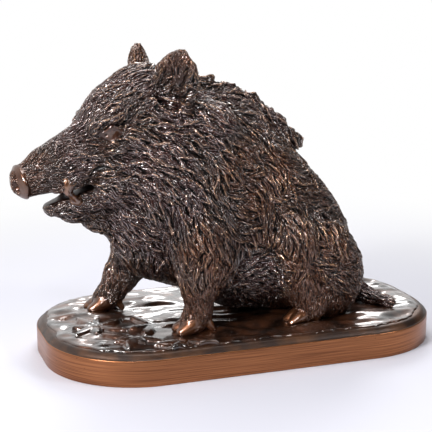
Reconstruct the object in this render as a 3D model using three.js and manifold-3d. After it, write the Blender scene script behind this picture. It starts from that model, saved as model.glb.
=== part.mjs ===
// A seated wild boar in cast bronze on a low plinth with rounded ends.
// Millimetres, +Z up. The boar faces -X and its left side is towards -Y. The origin is the
// centre of the plinth's underside.
//
// The boar is built as a sculptor builds it: rounded masses and tapered limbs pressed together
// with soft joins, hollows cut in, and tufts of hair laid on. The result is skinned as one shell,
// thinned to the triangles that its shape needs, and seated on the plinth's ground.
import * as THREE from "three";
import { mergeVertices } from "three/addons/utils/BufferGeometryUtils.js";
import Module from "manifold-3d";

const wasm = await Module();
wasm.setup();

// ---------------------------------------------------------------- driving dimensions

const PLINTH_LENGTH = 300;
const PLINTH_WIDTH = 162.7;
const PLINTH_CORNER_RADIUS = 68.5;
const RIM_HEIGHT = 18.75; // upright polished rim
const ARRIS = 0.8; // small chamfer along the top of the rim
const SHOULDER_INSET = 5.5; // smooth band between the rim and the modelled ground
const SHOULDER_HEIGHT = 22.4;
const GROUND_HEIGHT = 24; // mean level of the modelled ground
const GROUND_SWELLS = [
  { height: 0.8, alongX: 9.3, alongY: 31 },
  { height: 0.6, alongX: -23, alongY: 7.1 },
  { height: 0.5, alongX: 15, alongY: 9 },
];
const SEAT_GAP = 0.3; // clearance between the two castings

const OUTLINE_SEGMENTS = 64;
const GROUND_RINGS = 6;
const GROUND_FIRST_INSET = SHOULDER_INSET + 3;
const GROUND_LAST_INSET = PLINTH_CORNER_RADIUS - 5;
const EDGE_WANDER = 1.4; // how far the ground's edge wanders in and out

// A low plant on the ground in front of the right forefoot.
const PLANT_ROOT = [-112, -12];
const LEAF_ANGLES = [20, 75, 118, 170, 215, 262, 320];
const LEAF_LENGTH = 25;
const LEAF_WIDTH = 10;
const LEAF_THICKNESS = 3;
const LEAF_LIFT = 5; // degrees

const SKIN_STEP = 2.1; // spacing of the samples that the boar's shell is skinned from
const SKIN_TRIANGLES = 6900; // triangles left in the boar's shell
const CLAY_LOW = [-185, -76, 14];
const CLAY_HIGH = [132, 76, 236];
const FOOT_LEVEL = 21.5; // the boar's clay is cut off flat here, below the ground's surface

// The head's own frame: where it joins the neck, and how it is turned and lowered (degrees).
const HEAD_ROOT = [-64, -2, 166];
const HEAD_YAW = 7;
const HEAD_PITCH = 20;

// Masses of the trunk and limbs. A ball has a centre, three radii (length, width, height) and a
// pitch in degrees, which lowers the end that its frame's first axis points to; a limb runs
// between two points with a radius at each. `join` is the width of the soft join to what was laid
// before it, `cut` hollows instead, and `both` makes a mirrored pair.
const TRUNK = [
  { ball: [-43, 0, 118], radii: [52, 42, 68], join: 1 }, // chest
  { ball: [9, 0, 107], radii: [73, 45, 51], pitch: 38, join: 30 }, // barrel
  { ball: [6, 0, 68], radii: [52, 41, 42], join: 22 }, // belly
  { ball: [51, 0, 64], radii: [39, 42, 46], join: 22 }, // rump
  { ball: [-20, 0, 154], radii: [40, 27, 36], join: 22 }, // withers
  { ball: [-60, -2, 152], radii: [36, 36, 46], join: 24 }, // neck
  { ball: [-76, -1, 104], radii: [22, 26, 36], join: 16 }, // dewlap
  { ball: [-62, 0, 74], radii: [22, 24, 18], join: 12 }, // brisket
  { ball: [-58, 30, 132], radii: [24, 15, 42], pitch: 20, join: 8, both: true }, // ruff
  { ball: [-36, 29, 152], radii: [27, 15, 34], pitch: 28, join: 3, both: true }, // mane's side
  { ball: [-30, 31, 110], radii: [32, 19, 48], pitch: 14, join: 8, both: true }, // shoulder
  { ball: [-33, 34, 74], radii: [23, 17, 23], join: 8, both: true }, // elbow
];

const HAUNCH = [
  { ball: [54, 33, 60], radii: [33, 25, 42], pitch: -22, join: 5, both: true }, // thigh
  { ball: [30, 43, 80], radii: [18, 18, 24], pitch: -14, join: 4, both: true }, // stifle
  { limb: [[27, 48, 68], [37, 50, 41]], radii: [13.5, 8.6], join: 4, both: true }, // shank
  { ball: [44, 50, 34], radii: [9, 7.6, 8.4], join: 5, both: true }, // hock
  { limb: [[41, 50, 33], [35, 50, 29]], radii: [7.6, 7], join: 4, both: true }, // hind foot
];

const LEFT_FORELEG = [
  { limb: [[-38, -35, 90], [-42, -40, 66]], radii: [20, 14.5], join: 10 },
  { limb: [[-42, -40, 66], [-43, -42, 52]], radii: [14.5, 11], join: 4 },
  { limb: [[-43, -42, 52], [-44, -43, 38]], radii: [11, 9.2], join: 4 },
  { ball: [-46, -42.5, 56], radii: [9.5, 11, 10], join: 5 }, // wrist
  { limb: [[-44, -43, 38], [-48, -43, 31]], radii: [9, 9.4], join: 4 }, // pastern
];

const RIGHT_FORELEG = [
  { limb: [[-56, 28, 92], [-70, 30, 66]], radii: [24, 17.5], join: 12 },
  { limb: [[-70, 30, 66], [-82, 31, 48]], radii: [17.5, 12], join: 4 },
  { limb: [[-82, 31, 48], [-90, 31, 36]], radii: [12, 9.6], join: 4 },
  { ball: [-83, 31, 50], radii: [10, 11.5, 10], join: 5 }, // wrist
  { limb: [[-90, 31, 36], [-95, 31, 31]], radii: [9.2, 9.2], join: 4 }, // pastern
];

// Where each cloven foot stands, the middle of its two toes' heels, and its size.
const FEET = [
  [-50, -43, 1],
  [-98, 31, 1],
  [31, -50, 0.82],
  [31, 50, 0.82],
];
const TOE = { spread: 4.6, splay: 0.6, length: 8, heelHeight: 29, tipHeight: 24.5 };
const TOE_RADII = [6, 4.8];
const TOE_JOIN = 1.5;
const DEWCLAW = { back: 12, above: 1, length: 3, splay: 1.5, drop: 5 };
const DEWCLAW_RADII = [3.4, 2.4];

const TAIL = [
  { limb: [[90, -6, 48], [98, -11, 32]], radii: [8, 6.5], join: 6 },
  { limb: [[98, -11, 32], [106, -21, 27]], radii: [6.5, 5.4], join: 5 },
  { limb: [[106, -21, 27], [112, -33, 27]], radii: [5.4, 4.2], join: 5 },
  { limb: [[112, -33, 27], [113, -41, 28]], radii: [4.2, 2.8], join: 4 },
];

// The head, in its own frame: forward along the muzzle, left, and up.
const SKULL = [
  { ball: [4, 0, 14], radii: [34, 27, 34], join: 14 },
  { ball: [25, 0, 21], radii: [25, 23, 20], join: 9 }, // forehead
  { limb: [[38, 0, -1], [82, 0, 3]], radii: [26.5, 16], width: 0.86, join: 10 }, // muzzle
  { limb: [[40, 0, 19], [86, 0, 12]], radii: [8, 7], join: 8 }, // bridge
  { limb: [[86, 0, 3.5], [100, 0, 4]], radii: [13.5, 12], join: 5 }, // snout
  { ball: [105, 0, 4], radii: [3.4, 15.5, 13], pitch: -8, join: 2 }, // snout disc
  { limb: [[36, 0, -31], [76, 0, -26]], radii: [20, 12.5], join: 6 }, // jaw
  { limb: [[75, 0, -25], [90, 0, -21]], radii: [10.5, 7], join: 4 }, // chin
  { ball: [50, 0, -45], radii: [23, 13, 11], join: 8 }, // beard
  { ball: [40, 19, -20], radii: [23, 13, 19], join: 5, both: true }, // cheek
  { ball: [10, 28, -32], radii: [22, 15, 28], pitch: -24, join: 2.5, both: true }, // jowl
  { ball: [34, 20, -47], radii: [19, 10, 14], pitch: -10, join: 3, both: true }, // jowl flap
  { limb: [[22, 20, 31], [45, 17.5, 22]], radii: [6.5, 4.5], join: 7, both: true }, // brow
  { ball: [76, 12, -8], radii: [13, 5, 6], join: 3, both: true }, // upper lip
  { ball: [38, 28.5, 16], radii: [11, 8, 7], join: 5, cut: true, both: true }, // eye socket
  { ball: [38, 21, 16], radii: [5.2, 4.6, 4.6], join: 1, both: true }, // eye
  { limb: [[32, 24, 19.5], [43, 22, 20]], radii: [2.4, 1.8], join: 1.5, both: true }, // lid
  { limb: [[33, 24.5, 11.5], [43, 22.5, 12.5]], radii: [2.2, 1.6], join: 1.5, both: true },
  { limb: [[24, 25, 6], [52, 18.5, 4]], radii: [5, 3.5], join: 7, both: true }, // cheekbone
  { limb: [[56, 17, 8], [80, 12, 8]], radii: [3.2, 2.4], join: 3.5, both: true }, // muzzle fold
];

const MOUTH = [
  { limb: [[118, 0, -11], [57, 0, -17]], radii: [6, 1.4], width: 9, join: 2, cut: true },
  { limb: [[56, 0, -24], [82, 0, -23]], radii: [6, 4], join: 2 }, // tongue
  { limb: [[75, 9.5, -22], [80, 15, -12]], radii: [3.4, 2.8], join: 1, both: true }, // tusk
  { limb: [[80, 15, -12], [77, 17, -1]], radii: [2.8, 1.1], join: 1, both: true },
  { ball: [109, 5, 4.4], radii: [4, 2.4, 3.2], join: 1.2, cut: true, both: true }, // nostril
];

// The ears stand up and open forwards and outwards.
const EAR_ROOT = [-9, 25, 18];
const EAR_UP = [-0.42, 0.46, 1];
const EAR_OPENING = [0.8, 0.62, 0];
// An ear in its own frame: along its opening, across, and up to the tip.
const EAR = [
  { ball: [0, 0, -2], radii: [12, 15, 14], join: 6 },
  { ball: [0, 0, 14], radii: [6.2, 16, 24], join: 4 },
  { limb: [[0, 0, 22], [-1.5, 0, 39]], radii: [10.5, 2.8], depth: 0.5, join: 5 },
  { ball: [6.2, 0, 15], radii: [6.2, 12, 24], join: 2, cut: true },
];

// The crest: tufts along the line of the back, from behind the ears to the loins.
const BACK_LINE = [
  [-62, -1, 200],
  [-30, 0, 195],
  [8, 0, 182],
  [36, 0, 160],
  [45, 0, 151],
];
const CREST_TUFTS = 17;
const CREST_RADII = [8.5, 2.6]; // at a tuft's root and tip
const CREST_WIDTH = 0.75; // a tuft is narrower across than along the line
const CREST_DEPTH = 5; // how deep a tuft is rooted
const CREST_RISE = 4.8;
const CREST_SWEEP = 12; // how far each tuft leans back along the line
const CREST_LEAN = 3; // how far its tip strays to either side
const CREST_JOIN = 2.5;

// How the coat lies: at each place the hair runs this way, fading out with distance.
const COAT_FLOW = [
  { at: [-90, 20, 120], way: [0.1, 0.1, -1] }, // throat
  { at: [-62, 44, 150], way: [0.75, 0.2, -0.75] }, // neck
  { at: [-40, 44, 110], way: [0.25, 0, -1] }, // shoulder
  { at: [-80, 20, 75], way: [0.3, 0.2, -1] }, // chest
  { at: [-10, 44, 140], way: [0.85, 0.1, -0.55] }, // withers' side
  { at: [10, 46, 100], way: [0.75, 0, -0.65] }, // flank
  { at: [40, 40, 110], way: [0.7, 0.1, -0.7] }, // loin
  { at: [0, 42, 55], way: [0.9, 0, -0.4] }, // belly
  { at: [30, 58, 85], way: [0.55, 0, -0.8] }, // stifle
  { at: [60, 58, 70], way: [0.5, 0, -0.85] }, // thigh
  { at: [90, 20, 80], way: [0.1, 0, -1] }, // buttock
  { at: [-87, 25, 135], way: [0.6, 0.15, -0.8] }, // cheek
  { at: [-75, 24, 114], way: [0.45, 0.1, -0.9] }, // jowl
  { at: [-38, -40, 70], way: [0.1, 0, -1] }, // upper foreleg
];
const FLOW_REACH = 30;

// Tufts are laid in staggered rows, each row found by looking at the body along one axis. Rows
// run over two ranges of the frame's other axes, and keep to skin that faces the way looked from.
const TUFT_PITCH = 15;
const ROW_SPACING = 0.8; // of the pitch
const ROW_WAVER = 3;
const FLANK_ROWS = { look: 1, across: [0, -86, 88], upward: [2, 57, 190], facing: 0.35, size: 1 };
const CHEST_ROWS = { look: 0, across: [1, -24, 24], upward: [2, 66, 112], facing: 0.6, size: 1 };
const RUMP_ROWS = { look: 0, across: [1, -30, 30], upward: [2, 48, 138], facing: 0.6, size: 1 };
const CHEEK_ROWS = { look: 1, across: [0, 2, 66], upward: [2, -52, -4], facing: 0.3, size: 0.8 };
const LOOK_FROM = 132; // how far out the skin is looked for
const TUFT_LENGTH = 15;
const TUFT_RADIUS = 5.2;
const TUFT_TIP_RADIUS = 2;
const TUFT_RISE = 1.7; // how far a tuft's tip stands off the skin
const TUFT_ROOT_DEPTH = 4.2;
const TUFT_JOIN = 1.2;
const TUFT_PROBE = 12; // how far over its tip the skin is looked for

const PATINATED_BRONZE = { color: "#3a2620", roughness: 0.34, metalness: 1 };
const RUBBED_BRONZE = { color: "#8a5a3c", roughness: 0.38, metalness: 1 };

// ---------------------------------------------------------------- small vector helpers

const DEGREE = Math.PI / 180;
const vector = (list) => new THREE.Vector3(...list);
const mirrored = (list) => [list[0], -list[1], list[2]];

// A frame has an origin and three unit axes: forward, left and up.
function frameOf(origin, forward, left, up) {
  return { origin, axes: [forward, left, up] };
}

const BODY_FRAME = frameOf(
  new THREE.Vector3(),
  new THREE.Vector3(1, 0, 0),
  new THREE.Vector3(0, 1, 0),
  new THREE.Vector3(0, 0, 1),
);

function headFrame() {
  const yaw = HEAD_YAW * DEGREE;
  const pitch = HEAD_PITCH * DEGREE;
  const forward = new THREE.Vector3(
    -Math.cos(pitch) * Math.cos(yaw),
    -Math.cos(pitch) * Math.sin(yaw),
    -Math.sin(pitch),
  );
  const left = new THREE.Vector3(Math.sin(yaw), -Math.cos(yaw), 0);
  return frameOf(vector(HEAD_ROOT), forward, left, forward.clone().cross(left));
}

function toWorld(frame, point) {
  const world = frame.origin.clone();
  frame.axes.forEach((axis, i) => world.addScaledVector(axis, point[i]));
  return world;
}

function wayToWorld(frame, way) {
  return toWorld({ origin: new THREE.Vector3(), axes: frame.axes }, way);
}

// The frame's axes pitched about its own left axis, nose down for a positive angle.
function pitchedAxes(frame, pitch = 0) {
  const turn = new THREE.Quaternion().setFromAxisAngle(frame.axes[1], pitch * DEGREE);
  return frame.axes.map((axis) => axis.clone().applyQuaternion(turn));
}

// ---------------------------------------------------------------- clay: masses softly joined

// A rounded mass. Its distance is near enough true close to its surface.
function ball(centre, radii, axes) {
  const [rx, ry, rz] = radii;
  const reach = new THREE.Vector3();
  for (const part of ["x", "y", "z"]) {
    reach[part] = Math.hypot(rx * axes[0][part], ry * axes[1][part], rz * axes[2][part]);
  }
  const box = new THREE.Box3(centre.clone().sub(reach), centre.clone().add(reach));
  const offset = new THREE.Vector3();
  const distance = (point) => {
    offset.subVectors(point, centre);
    const a = offset.dot(axes[0]) / rx;
    const b = offset.dot(axes[1]) / ry;
    const c = offset.dot(axes[2]) / rz;
    const inside = Math.hypot(a, b, c);
    const slope = Math.hypot(a / rx, b / ry, c / rz);
    return (inside * (inside - 1)) / Math.max(slope, 1e-6);
  };
  return { box, distance };
}

// A tapered limb. `across` and `factor` widen or narrow it along one direction.
function limb(from, to, radii, across = null, factor = 1) {
  const [startRadius, endRadius] = radii;
  const reach = Math.max(...radii) * Math.max(1, factor);
  const box = new THREE.Box3().setFromPoints([from, to]).expandByScalar(reach);
  const squeeze = (v) => (across ? v.addScaledVector(across, -v.dot(across) * (1 - 1 / factor)) : v);
  const run = squeeze(to.clone().sub(from));
  const runSquared = run.lengthSq();
  const offset = new THREE.Vector3();
  const distance = (point) => {
    squeeze(offset.subVectors(point, from));
    const along = THREE.MathUtils.clamp(offset.dot(run) / runSquared, 0, 1);
    const radius = startRadius + (endRadius - startRadius) * along;
    return (offset.addScaledVector(run, -along).length() - radius) * Math.min(1, factor);
  };
  return { box, distance };
}

// Joins two distances with a rounded seam of the given width.
function softJoin(a, b, width) {
  const overlap = Math.max(width - Math.abs(a - b), 0) / width;
  return Math.min(a, b) - overlap * overlap * width * 0.25;
}

const OPEN_AIR = 60; // distance given to places far from every mass
const MASS_MARGIN = 16; // how far beyond its box a mass is felt

class Clay {
  constructor() {
    this.masses = [];
  }

  lay(shape, join, cut = false) {
    this.masses.push({ ...shape, join, cut });
  }

  joined(value, mass, point) {
    const distance = mass.distance(point);
    return mass.cut
      ? -softJoin(-value, distance, mass.join)
      : softJoin(value, distance, mass.join);
  }

  // Signed distance to the skin: negative inside.
  valueAt(point) {
    return this.masses.reduce((value, mass) => this.joined(value, mass, point), OPEN_AIR);
  }

  outwardAt(point) {
    const nudge = 0.5;
    const slope = ["x", "y", "z"].map((part) => {
      const ahead = point.clone();
      const behind = point.clone();
      ahead[part] += nudge;
      behind[part] -= nudge;
      return this.valueAt(ahead) - this.valueAt(behind);
    });
    return vector(slope).normalize();
  }

  // Walks from a point along a direction to the skin, or returns null.
  skinFrom(start, direction, furthest) {
    const point = start.clone();
    let travelled = 0;
    while (travelled < furthest) {
      const distance = this.valueAt(point);
      if (distance < 0.05) return point;
      const stride = Math.max(0.1, distance * 0.7);
      point.addScaledVector(direction, stride);
      travelled += stride;
    }
    return null;
  }
}

// Lays a list of masses given in a frame.
function layAll(clay, frame, masses) {
  for (const mass of masses) {
    const sides = mass.both ? [(p) => p, mirrored] : [(p) => p];
    for (const side of sides) {
      if (mass.ball) {
        const centre = toWorld(frame, side(mass.ball));
        clay.lay(ball(centre, mass.radii, pitchedAxes(frame, mass.pitch)), mass.join, mass.cut);
      } else {
        const [from, to] = mass.limb.map((end) => toWorld(frame, side(end)));
        const across = mass.width ? frame.axes[1] : mass.depth ? frame.axes[0] : null;
        const factor = mass.width ?? mass.depth ?? 1;
        clay.lay(limb(from, to, mass.radii, across, factor), mass.join, mass.cut);
      }
    }
  }
}

// ---------------------------------------------------------------- the boar's parts

// A cloven foot: two toes side by side, and a dewclaw behind each.
function layFoot(clay, [x, y, size]) {
  const sized = (radii) => radii.map((radius) => radius * size);
  for (const side of [1, -1]) {
    const heel = new THREE.Vector3(x, y + TOE.spread * side * size, TOE.heelHeight);
    const tip = new THREE.Vector3(x - TOE.length * size, heel.y + TOE.splay * side, TOE.tipHeight);
    clay.lay(limb(heel, tip, sized(TOE_RADII)), TOE_JOIN);
    const claw = heel.clone().add(new THREE.Vector3(DEWCLAW.back * size, 0, DEWCLAW.above));
    const clawTip = claw.clone();
    clawTip.add(new THREE.Vector3(DEWCLAW.length, DEWCLAW.splay * side, -DEWCLAW.drop));
    clay.lay(limb(claw, clawTip, sized(DEWCLAW_RADII)), TOE_JOIN);
  }
}

function layEars(clay, head) {
  for (const side of [(p) => p, mirrored]) {
    const up = wayToWorld(head, side(EAR_UP)).normalize();
    const opening = wayToWorld(head, side(EAR_OPENING));
    opening.addScaledVector(up, -opening.dot(up)).normalize();
    const across = up.clone().cross(opening);
    const ear = frameOf(toWorld(head, side(EAR_ROOT)), opening, across, up);
    layAll(clay, ear, EAR);
  }
}

// Each crest tuft has its own size and leans a little to one side.
function layCrest(clay) {
  const line = new THREE.CatmullRomCurve3(BACK_LINE.map(vector));
  for (let i = 0; i < CREST_TUFTS; i += 1) {
    const along = (i + 0.5) / CREST_TUFTS;
    const point = line.getPoint(along);
    const back = line.getTangent(along);
    const outward = new THREE.Vector3(-back.z, 0, back.x);
    const size = 1 + 0.3 * Math.sin(2.6 * i + 1);
    const root = point.clone().addScaledVector(outward, -CREST_DEPTH);
    const tip = point.clone().addScaledVector(outward, CREST_RISE * size);
    tip.addScaledVector(back, CREST_SWEEP * size);
    tip.y += CREST_LEAN * Math.sin(1.9 * i);
    clay.lay(limb(root, tip, CREST_RADII, BODY_FRAME.axes[1], CREST_WIDTH), CREST_JOIN);
  }
}

// The way the hair lies at a point of the skin with the given outward direction.
function coatWay(point, outward) {
  const side = Math.sign(point.y) || 1;
  const way = new THREE.Vector3();
  for (const comb of COAT_FLOW) {
    const at = vector(comb.at);
    at.y *= side;
    const share = Math.exp(-at.distanceToSquared(point) / FLOW_REACH ** 2);
    const lie = vector(comb.way);
    way.add(lie.set(lie.x, lie.y * side, lie.z).multiplyScalar(share + 1e-6));
  }
  return way.addScaledVector(outward, -way.dot(outward)).normalize();
}

// A lock of hair that lies on the skin and lifts at its tip.
function tuftOn(clay, point, outward, way, scale) {
  const root = point.clone().addScaledVector(outward, -TUFT_ROOT_DEPTH);
  const tip = point.clone().addScaledVector(way, TUFT_LENGTH * scale);
  const above = tip.addScaledVector(outward, TUFT_PROBE);
  const under = clay.skinFrom(above, outward.clone().negate(), 2 * TUFT_PROBE);
  if (!under) return null;
  under.addScaledVector(outward, TUFT_RISE - TUFT_TIP_RADIUS);
  return limb(root, under, [TUFT_RADIUS * scale, TUFT_TIP_RADIUS]);
}

// Lays the rows seen from one side of a frame: `side` is 1 or -1 along the axis looked along.
function layRows(clay, frame, rows, side) {
  const [acrossAxis, acrossFrom, acrossTo] = rows.across;
  const [upAxis, upFrom, upTo] = rows.upward;
  const pitch = TUFT_PITCH * rows.size;
  const inward = frame.axes[rows.look].clone().multiplyScalar(-side);
  const tufts = [];
  for (let row = 0; upFrom + row * pitch * ROW_SPACING <= upTo; row += 1) {
    for (let column = 0; acrossFrom + column * pitch <= acrossTo; column += 1) {
      const place = [0, 0, 0];
      place[rows.look] = side * LOOK_FROM;
      place[acrossAxis] = acrossFrom + (column + (row % 2) * 0.5) * pitch;
      place[upAxis] = upFrom + row * pitch * ROW_SPACING;
      place[upAxis] += ROW_WAVER * Math.sin(column * 2.4 + row);
      const point = clay.skinFrom(toWorld(frame, place), inward, LOOK_FROM);
      if (!point) continue;
      const outward = clay.outwardAt(point);
      if (outward.dot(inward) > -rows.facing) continue;
      const size = rows.size * (0.9 + 0.25 * Math.sin(column * 5.1 + row * 2.7));
      const tuft = tuftOn(clay, point, outward, coatWay(point, outward), size);
      if (tuft) tufts.push(tuft);
    }
  }
  tufts.forEach((tuft) => clay.lay(tuft, TUFT_JOIN));
}

function sculptBoar() {
  const clay = new Clay();
  const head = headFrame();
  layAll(clay, BODY_FRAME, TRUNK);
  layAll(clay, BODY_FRAME, HAUNCH);
  layAll(clay, BODY_FRAME, LEFT_FORELEG);
  layAll(clay, BODY_FRAME, RIGHT_FORELEG);
  for (const side of [1, -1]) layRows(clay, BODY_FRAME, FLANK_ROWS, side);
  layRows(clay, BODY_FRAME, CHEST_ROWS, -1);
  layRows(clay, BODY_FRAME, RUMP_ROWS, 1);
  FEET.forEach((foot) => layFoot(clay, foot));
  layAll(clay, BODY_FRAME, TAIL);
  layAll(clay, head, SKULL);
  for (const side of [1, -1]) layRows(clay, head, CHEEK_ROWS, side);
  layEars(clay, head);
  layAll(clay, head, MOUTH);
  layCrest(clay);
  return clay;
}

// ---------------------------------------------------------------- skinning the clay

// Samples the clay on a regular lattice, mass by mass, each only near itself.
function sampleLattice(clay) {
  const counts = CLAY_LOW.map((low, i) => Math.ceil((CLAY_HIGH[i] - low) / SKIN_STEP) + 1);
  const place = (i, axis) => CLAY_LOW[axis] + i * SKIN_STEP;
  const index = (i, j, k) => (i * counts[1] + j) * counts[2] + k;
  const values = new Float32Array(counts[0] * counts[1] * counts[2]).fill(OPEN_AIR);
  const point = new THREE.Vector3();
  for (const mass of clay.masses) {
    const box = mass.box.clone().expandByScalar(MASS_MARGIN);
    const first = box.min.toArray().map((v, a) => Math.ceil((v - CLAY_LOW[a]) / SKIN_STEP));
    const last = box.max.toArray().map((v, a) => Math.floor((v - CLAY_LOW[a]) / SKIN_STEP));
    for (let i = Math.max(first[0], 0); i <= Math.min(last[0], counts[0] - 1); i += 1) {
      for (let j = Math.max(first[1], 0); j <= Math.min(last[1], counts[1] - 1); j += 1) {
        for (let k = Math.max(first[2], 0); k <= Math.min(last[2], counts[2] - 1); k += 1) {
          point.set(place(i, 0), place(j, 1), place(k, 2));
          const at = index(i, j, k);
          values[at] = clay.joined(values[at], mass, point);
        }
      }
    }
  }
  for (let i = 0; i < counts[0]; i += 1) {
    for (let j = 0; j < counts[1]; j += 1) {
      for (let k = 0; k < counts[2]; k += 1) {
        const at = index(i, j, k);
        values[at] = Math.max(values[at], FOOT_LEVEL - place(k, 2));
      }
    }
  }
  return { counts, values, index, place };
}

const CORNERS = [0, 1, 2, 3, 4, 5, 6, 7].map((c) => [c & 1, (c >> 1) & 1, (c >> 2) & 1]);
const EDGE_BITS = [1, 2, 4];

// Whether the corners in a mask hang together along the edges of a cube.
function hangsTogether(mask) {
  if (mask === 0) return true;
  let reached = mask & -mask;
  let before = 0;
  while (reached !== before) {
    before = reached;
    for (let corner = 0; corner < 8; corner += 1) {
      if (!(before & (1 << corner))) continue;
      for (const bit of EDGE_BITS) reached |= mask & (1 << (corner ^ bit));
    }
  }
  return reached === mask;
}

const SIMPLE_CELL = Array.from({ length: 256 }, (_, m) => hangsTogether(m) && hangsTogether(255 - m));

// Fills in corners until the skin passes through every cell as one sheet.
function closePinches(lattice) {
  const { counts, values, index } = lattice;
  let changed = true;
  while (changed) {
    changed = false;
    for (let i = 0; i < counts[0] - 1; i += 1) {
      for (let j = 0; j < counts[1] - 1; j += 1) {
        for (let k = 0; k < counts[2] - 1; k += 1) {
          const cell = CORNERS.map(([a, b, c]) => index(i + a, j + b, k + c));
          const mask = cell.reduce((bits, at, corner) => bits | (values[at] < 0 ? 1 << corner : 0), 0);
          if (SIMPLE_CELL[mask]) continue;
          const outside = cell.filter((at) => values[at] >= 0);
          const nearest = outside.reduce((best, at) => (values[at] < values[best] ? at : best));
          values[nearest] = -0.02;
          changed = true;
        }
      }
    }
  }
}

// One vertex in each cell that the skin passes through, and one quad across each crossed edge.
function skinLattice(lattice) {
  const { counts, values, index, place } = lattice;
  const vertexOf = new Map();
  const positions = [];
  const cornerPoint = (i, j, k, [a, b, c]) =>
    new THREE.Vector3(place(i + a, 0), place(j + b, 1), place(k + c, 2));
  for (let i = 0; i < counts[0] - 1; i += 1) {
    for (let j = 0; j < counts[1] - 1; j += 1) {
      for (let k = 0; k < counts[2] - 1; k += 1) {
        const sum = new THREE.Vector3();
        let crossings = 0;
        CORNERS.forEach((corner, c) => {
          const here = values[index(i + corner[0], j + corner[1], k + corner[2])];
          for (const bit of EDGE_BITS) {
            if (c & bit) continue;
            const other = CORNERS[c | bit];
            const there = values[index(i + other[0], j + other[1], k + other[2])];
            if (here < 0 === there < 0) continue;
            const start = cornerPoint(i, j, k, corner);
            sum.add(start.lerp(cornerPoint(i, j, k, other), here / (here - there)));
            crossings += 1;
          }
        });
        if (crossings) {
          vertexOf.set(index(i, j, k), positions.length);
          positions.push(sum.divideScalar(crossings));
        }
      }
    }
  }
  const triangles = [];
  const steps = [[1, 0, 0], [0, 1, 0], [0, 0, 1]];
  for (let i = 1; i < counts[0] - 1; i += 1) {
    for (let j = 1; j < counts[1] - 1; j += 1) {
      for (let k = 1; k < counts[2] - 1; k += 1) {
        steps.forEach((step, axis) => {
          const insideHere = values[index(i, j, k)] < 0;
          const insideNext = values[index(i + step[0], j + step[1], k + step[2])] < 0;
          if (insideHere === insideNext) return;
          const u = steps[(axis + 1) % 3];
          const v = steps[(axis + 2) % 3];
          const cell = (m, n) =>
            vertexOf.get(index(i - m * u[0] - n * v[0], j - m * u[1] - n * v[1], k - m * u[2] - n * v[2]));
          const ring = [cell(1, 1), cell(0, 1), cell(0, 0), cell(1, 0)];
          if (!insideHere) ring.reverse();
          triangles.push([ring[0], ring[1], ring[2]], [ring[0], ring[2], ring[3]]);
        });
      }
    }
  }
  return { positions, triangles };
}

// ---------------------------------------------------------------- thinning the skin

// A symmetric 4x4 matrix of squared distance to a set of planes, as its ten numbers.
class PlaneSum {
  constructor() {
    this.terms = new Float64Array(10);
  }

  addPlane(n, d, weight) {
    const row = [n.x, n.y, n.z, d];
    let at = 0;
    for (let i = 0; i < 4; i += 1) {
      for (let j = i; j < 4; j += 1) {
        this.terms[at] += row[i] * row[j] * weight;
        at += 1;
      }
    }
  }

  add(other) {
    other.terms.forEach((term, i) => {
      this.terms[i] += term;
    });
    return this;
  }

  errorAt({ x, y, z }) {
    const t = this.terms;
    return (
      t[0] * x * x + 2 * t[1] * x * y + 2 * t[2] * x * z + 2 * t[3] * x +
      t[4] * y * y + 2 * t[5] * y * z + 2 * t[6] * y +
      t[7] * z * z + 2 * t[8] * z + t[9]
    );
  }

  // The point with the least error, or null where the planes don't fix one.
  bestPoint() {
    const t = this.terms;
    const matrix = new THREE.Matrix3().set(t[0], t[1], t[2], t[1], t[4], t[5], t[2], t[5], t[7]);
    const size = Math.cbrt(Math.abs(matrix.determinant()));
    if (size < 1e-3 * (t[0] + t[4] + t[7])) return null;
    return new THREE.Vector3(-t[3], -t[6], -t[8]).applyMatrix3(matrix.invert());
  }
}

// A binary heap of edge collapses, cheapest first.
class CollapseHeap {
  constructor() {
    this.items = [];
  }

  push(item) {
    const { items } = this;
    let at = items.push(item) - 1;
    while (at > 0) {
      const parent = (at - 1) >> 1;
      if (items[parent].cost <= items[at].cost) break;
      [items[parent], items[at]] = [items[at], items[parent]];
      at = parent;
    }
  }

  pop() {
    const { items } = this;
    const top = items[0];
    const last = items.pop();
    if (items.length) {
      items[0] = last;
      let at = 0;
      for (;;) {
        let least = at;
        for (const child of [2 * at + 1, 2 * at + 2]) {
          if (child < items.length && items[child].cost < items[least].cost) least = child;
        }
        if (least === at) break;
        [items[least], items[at]] = [items[at], items[least]];
        at = least;
      }
    }
    return top;
  }
}

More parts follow.
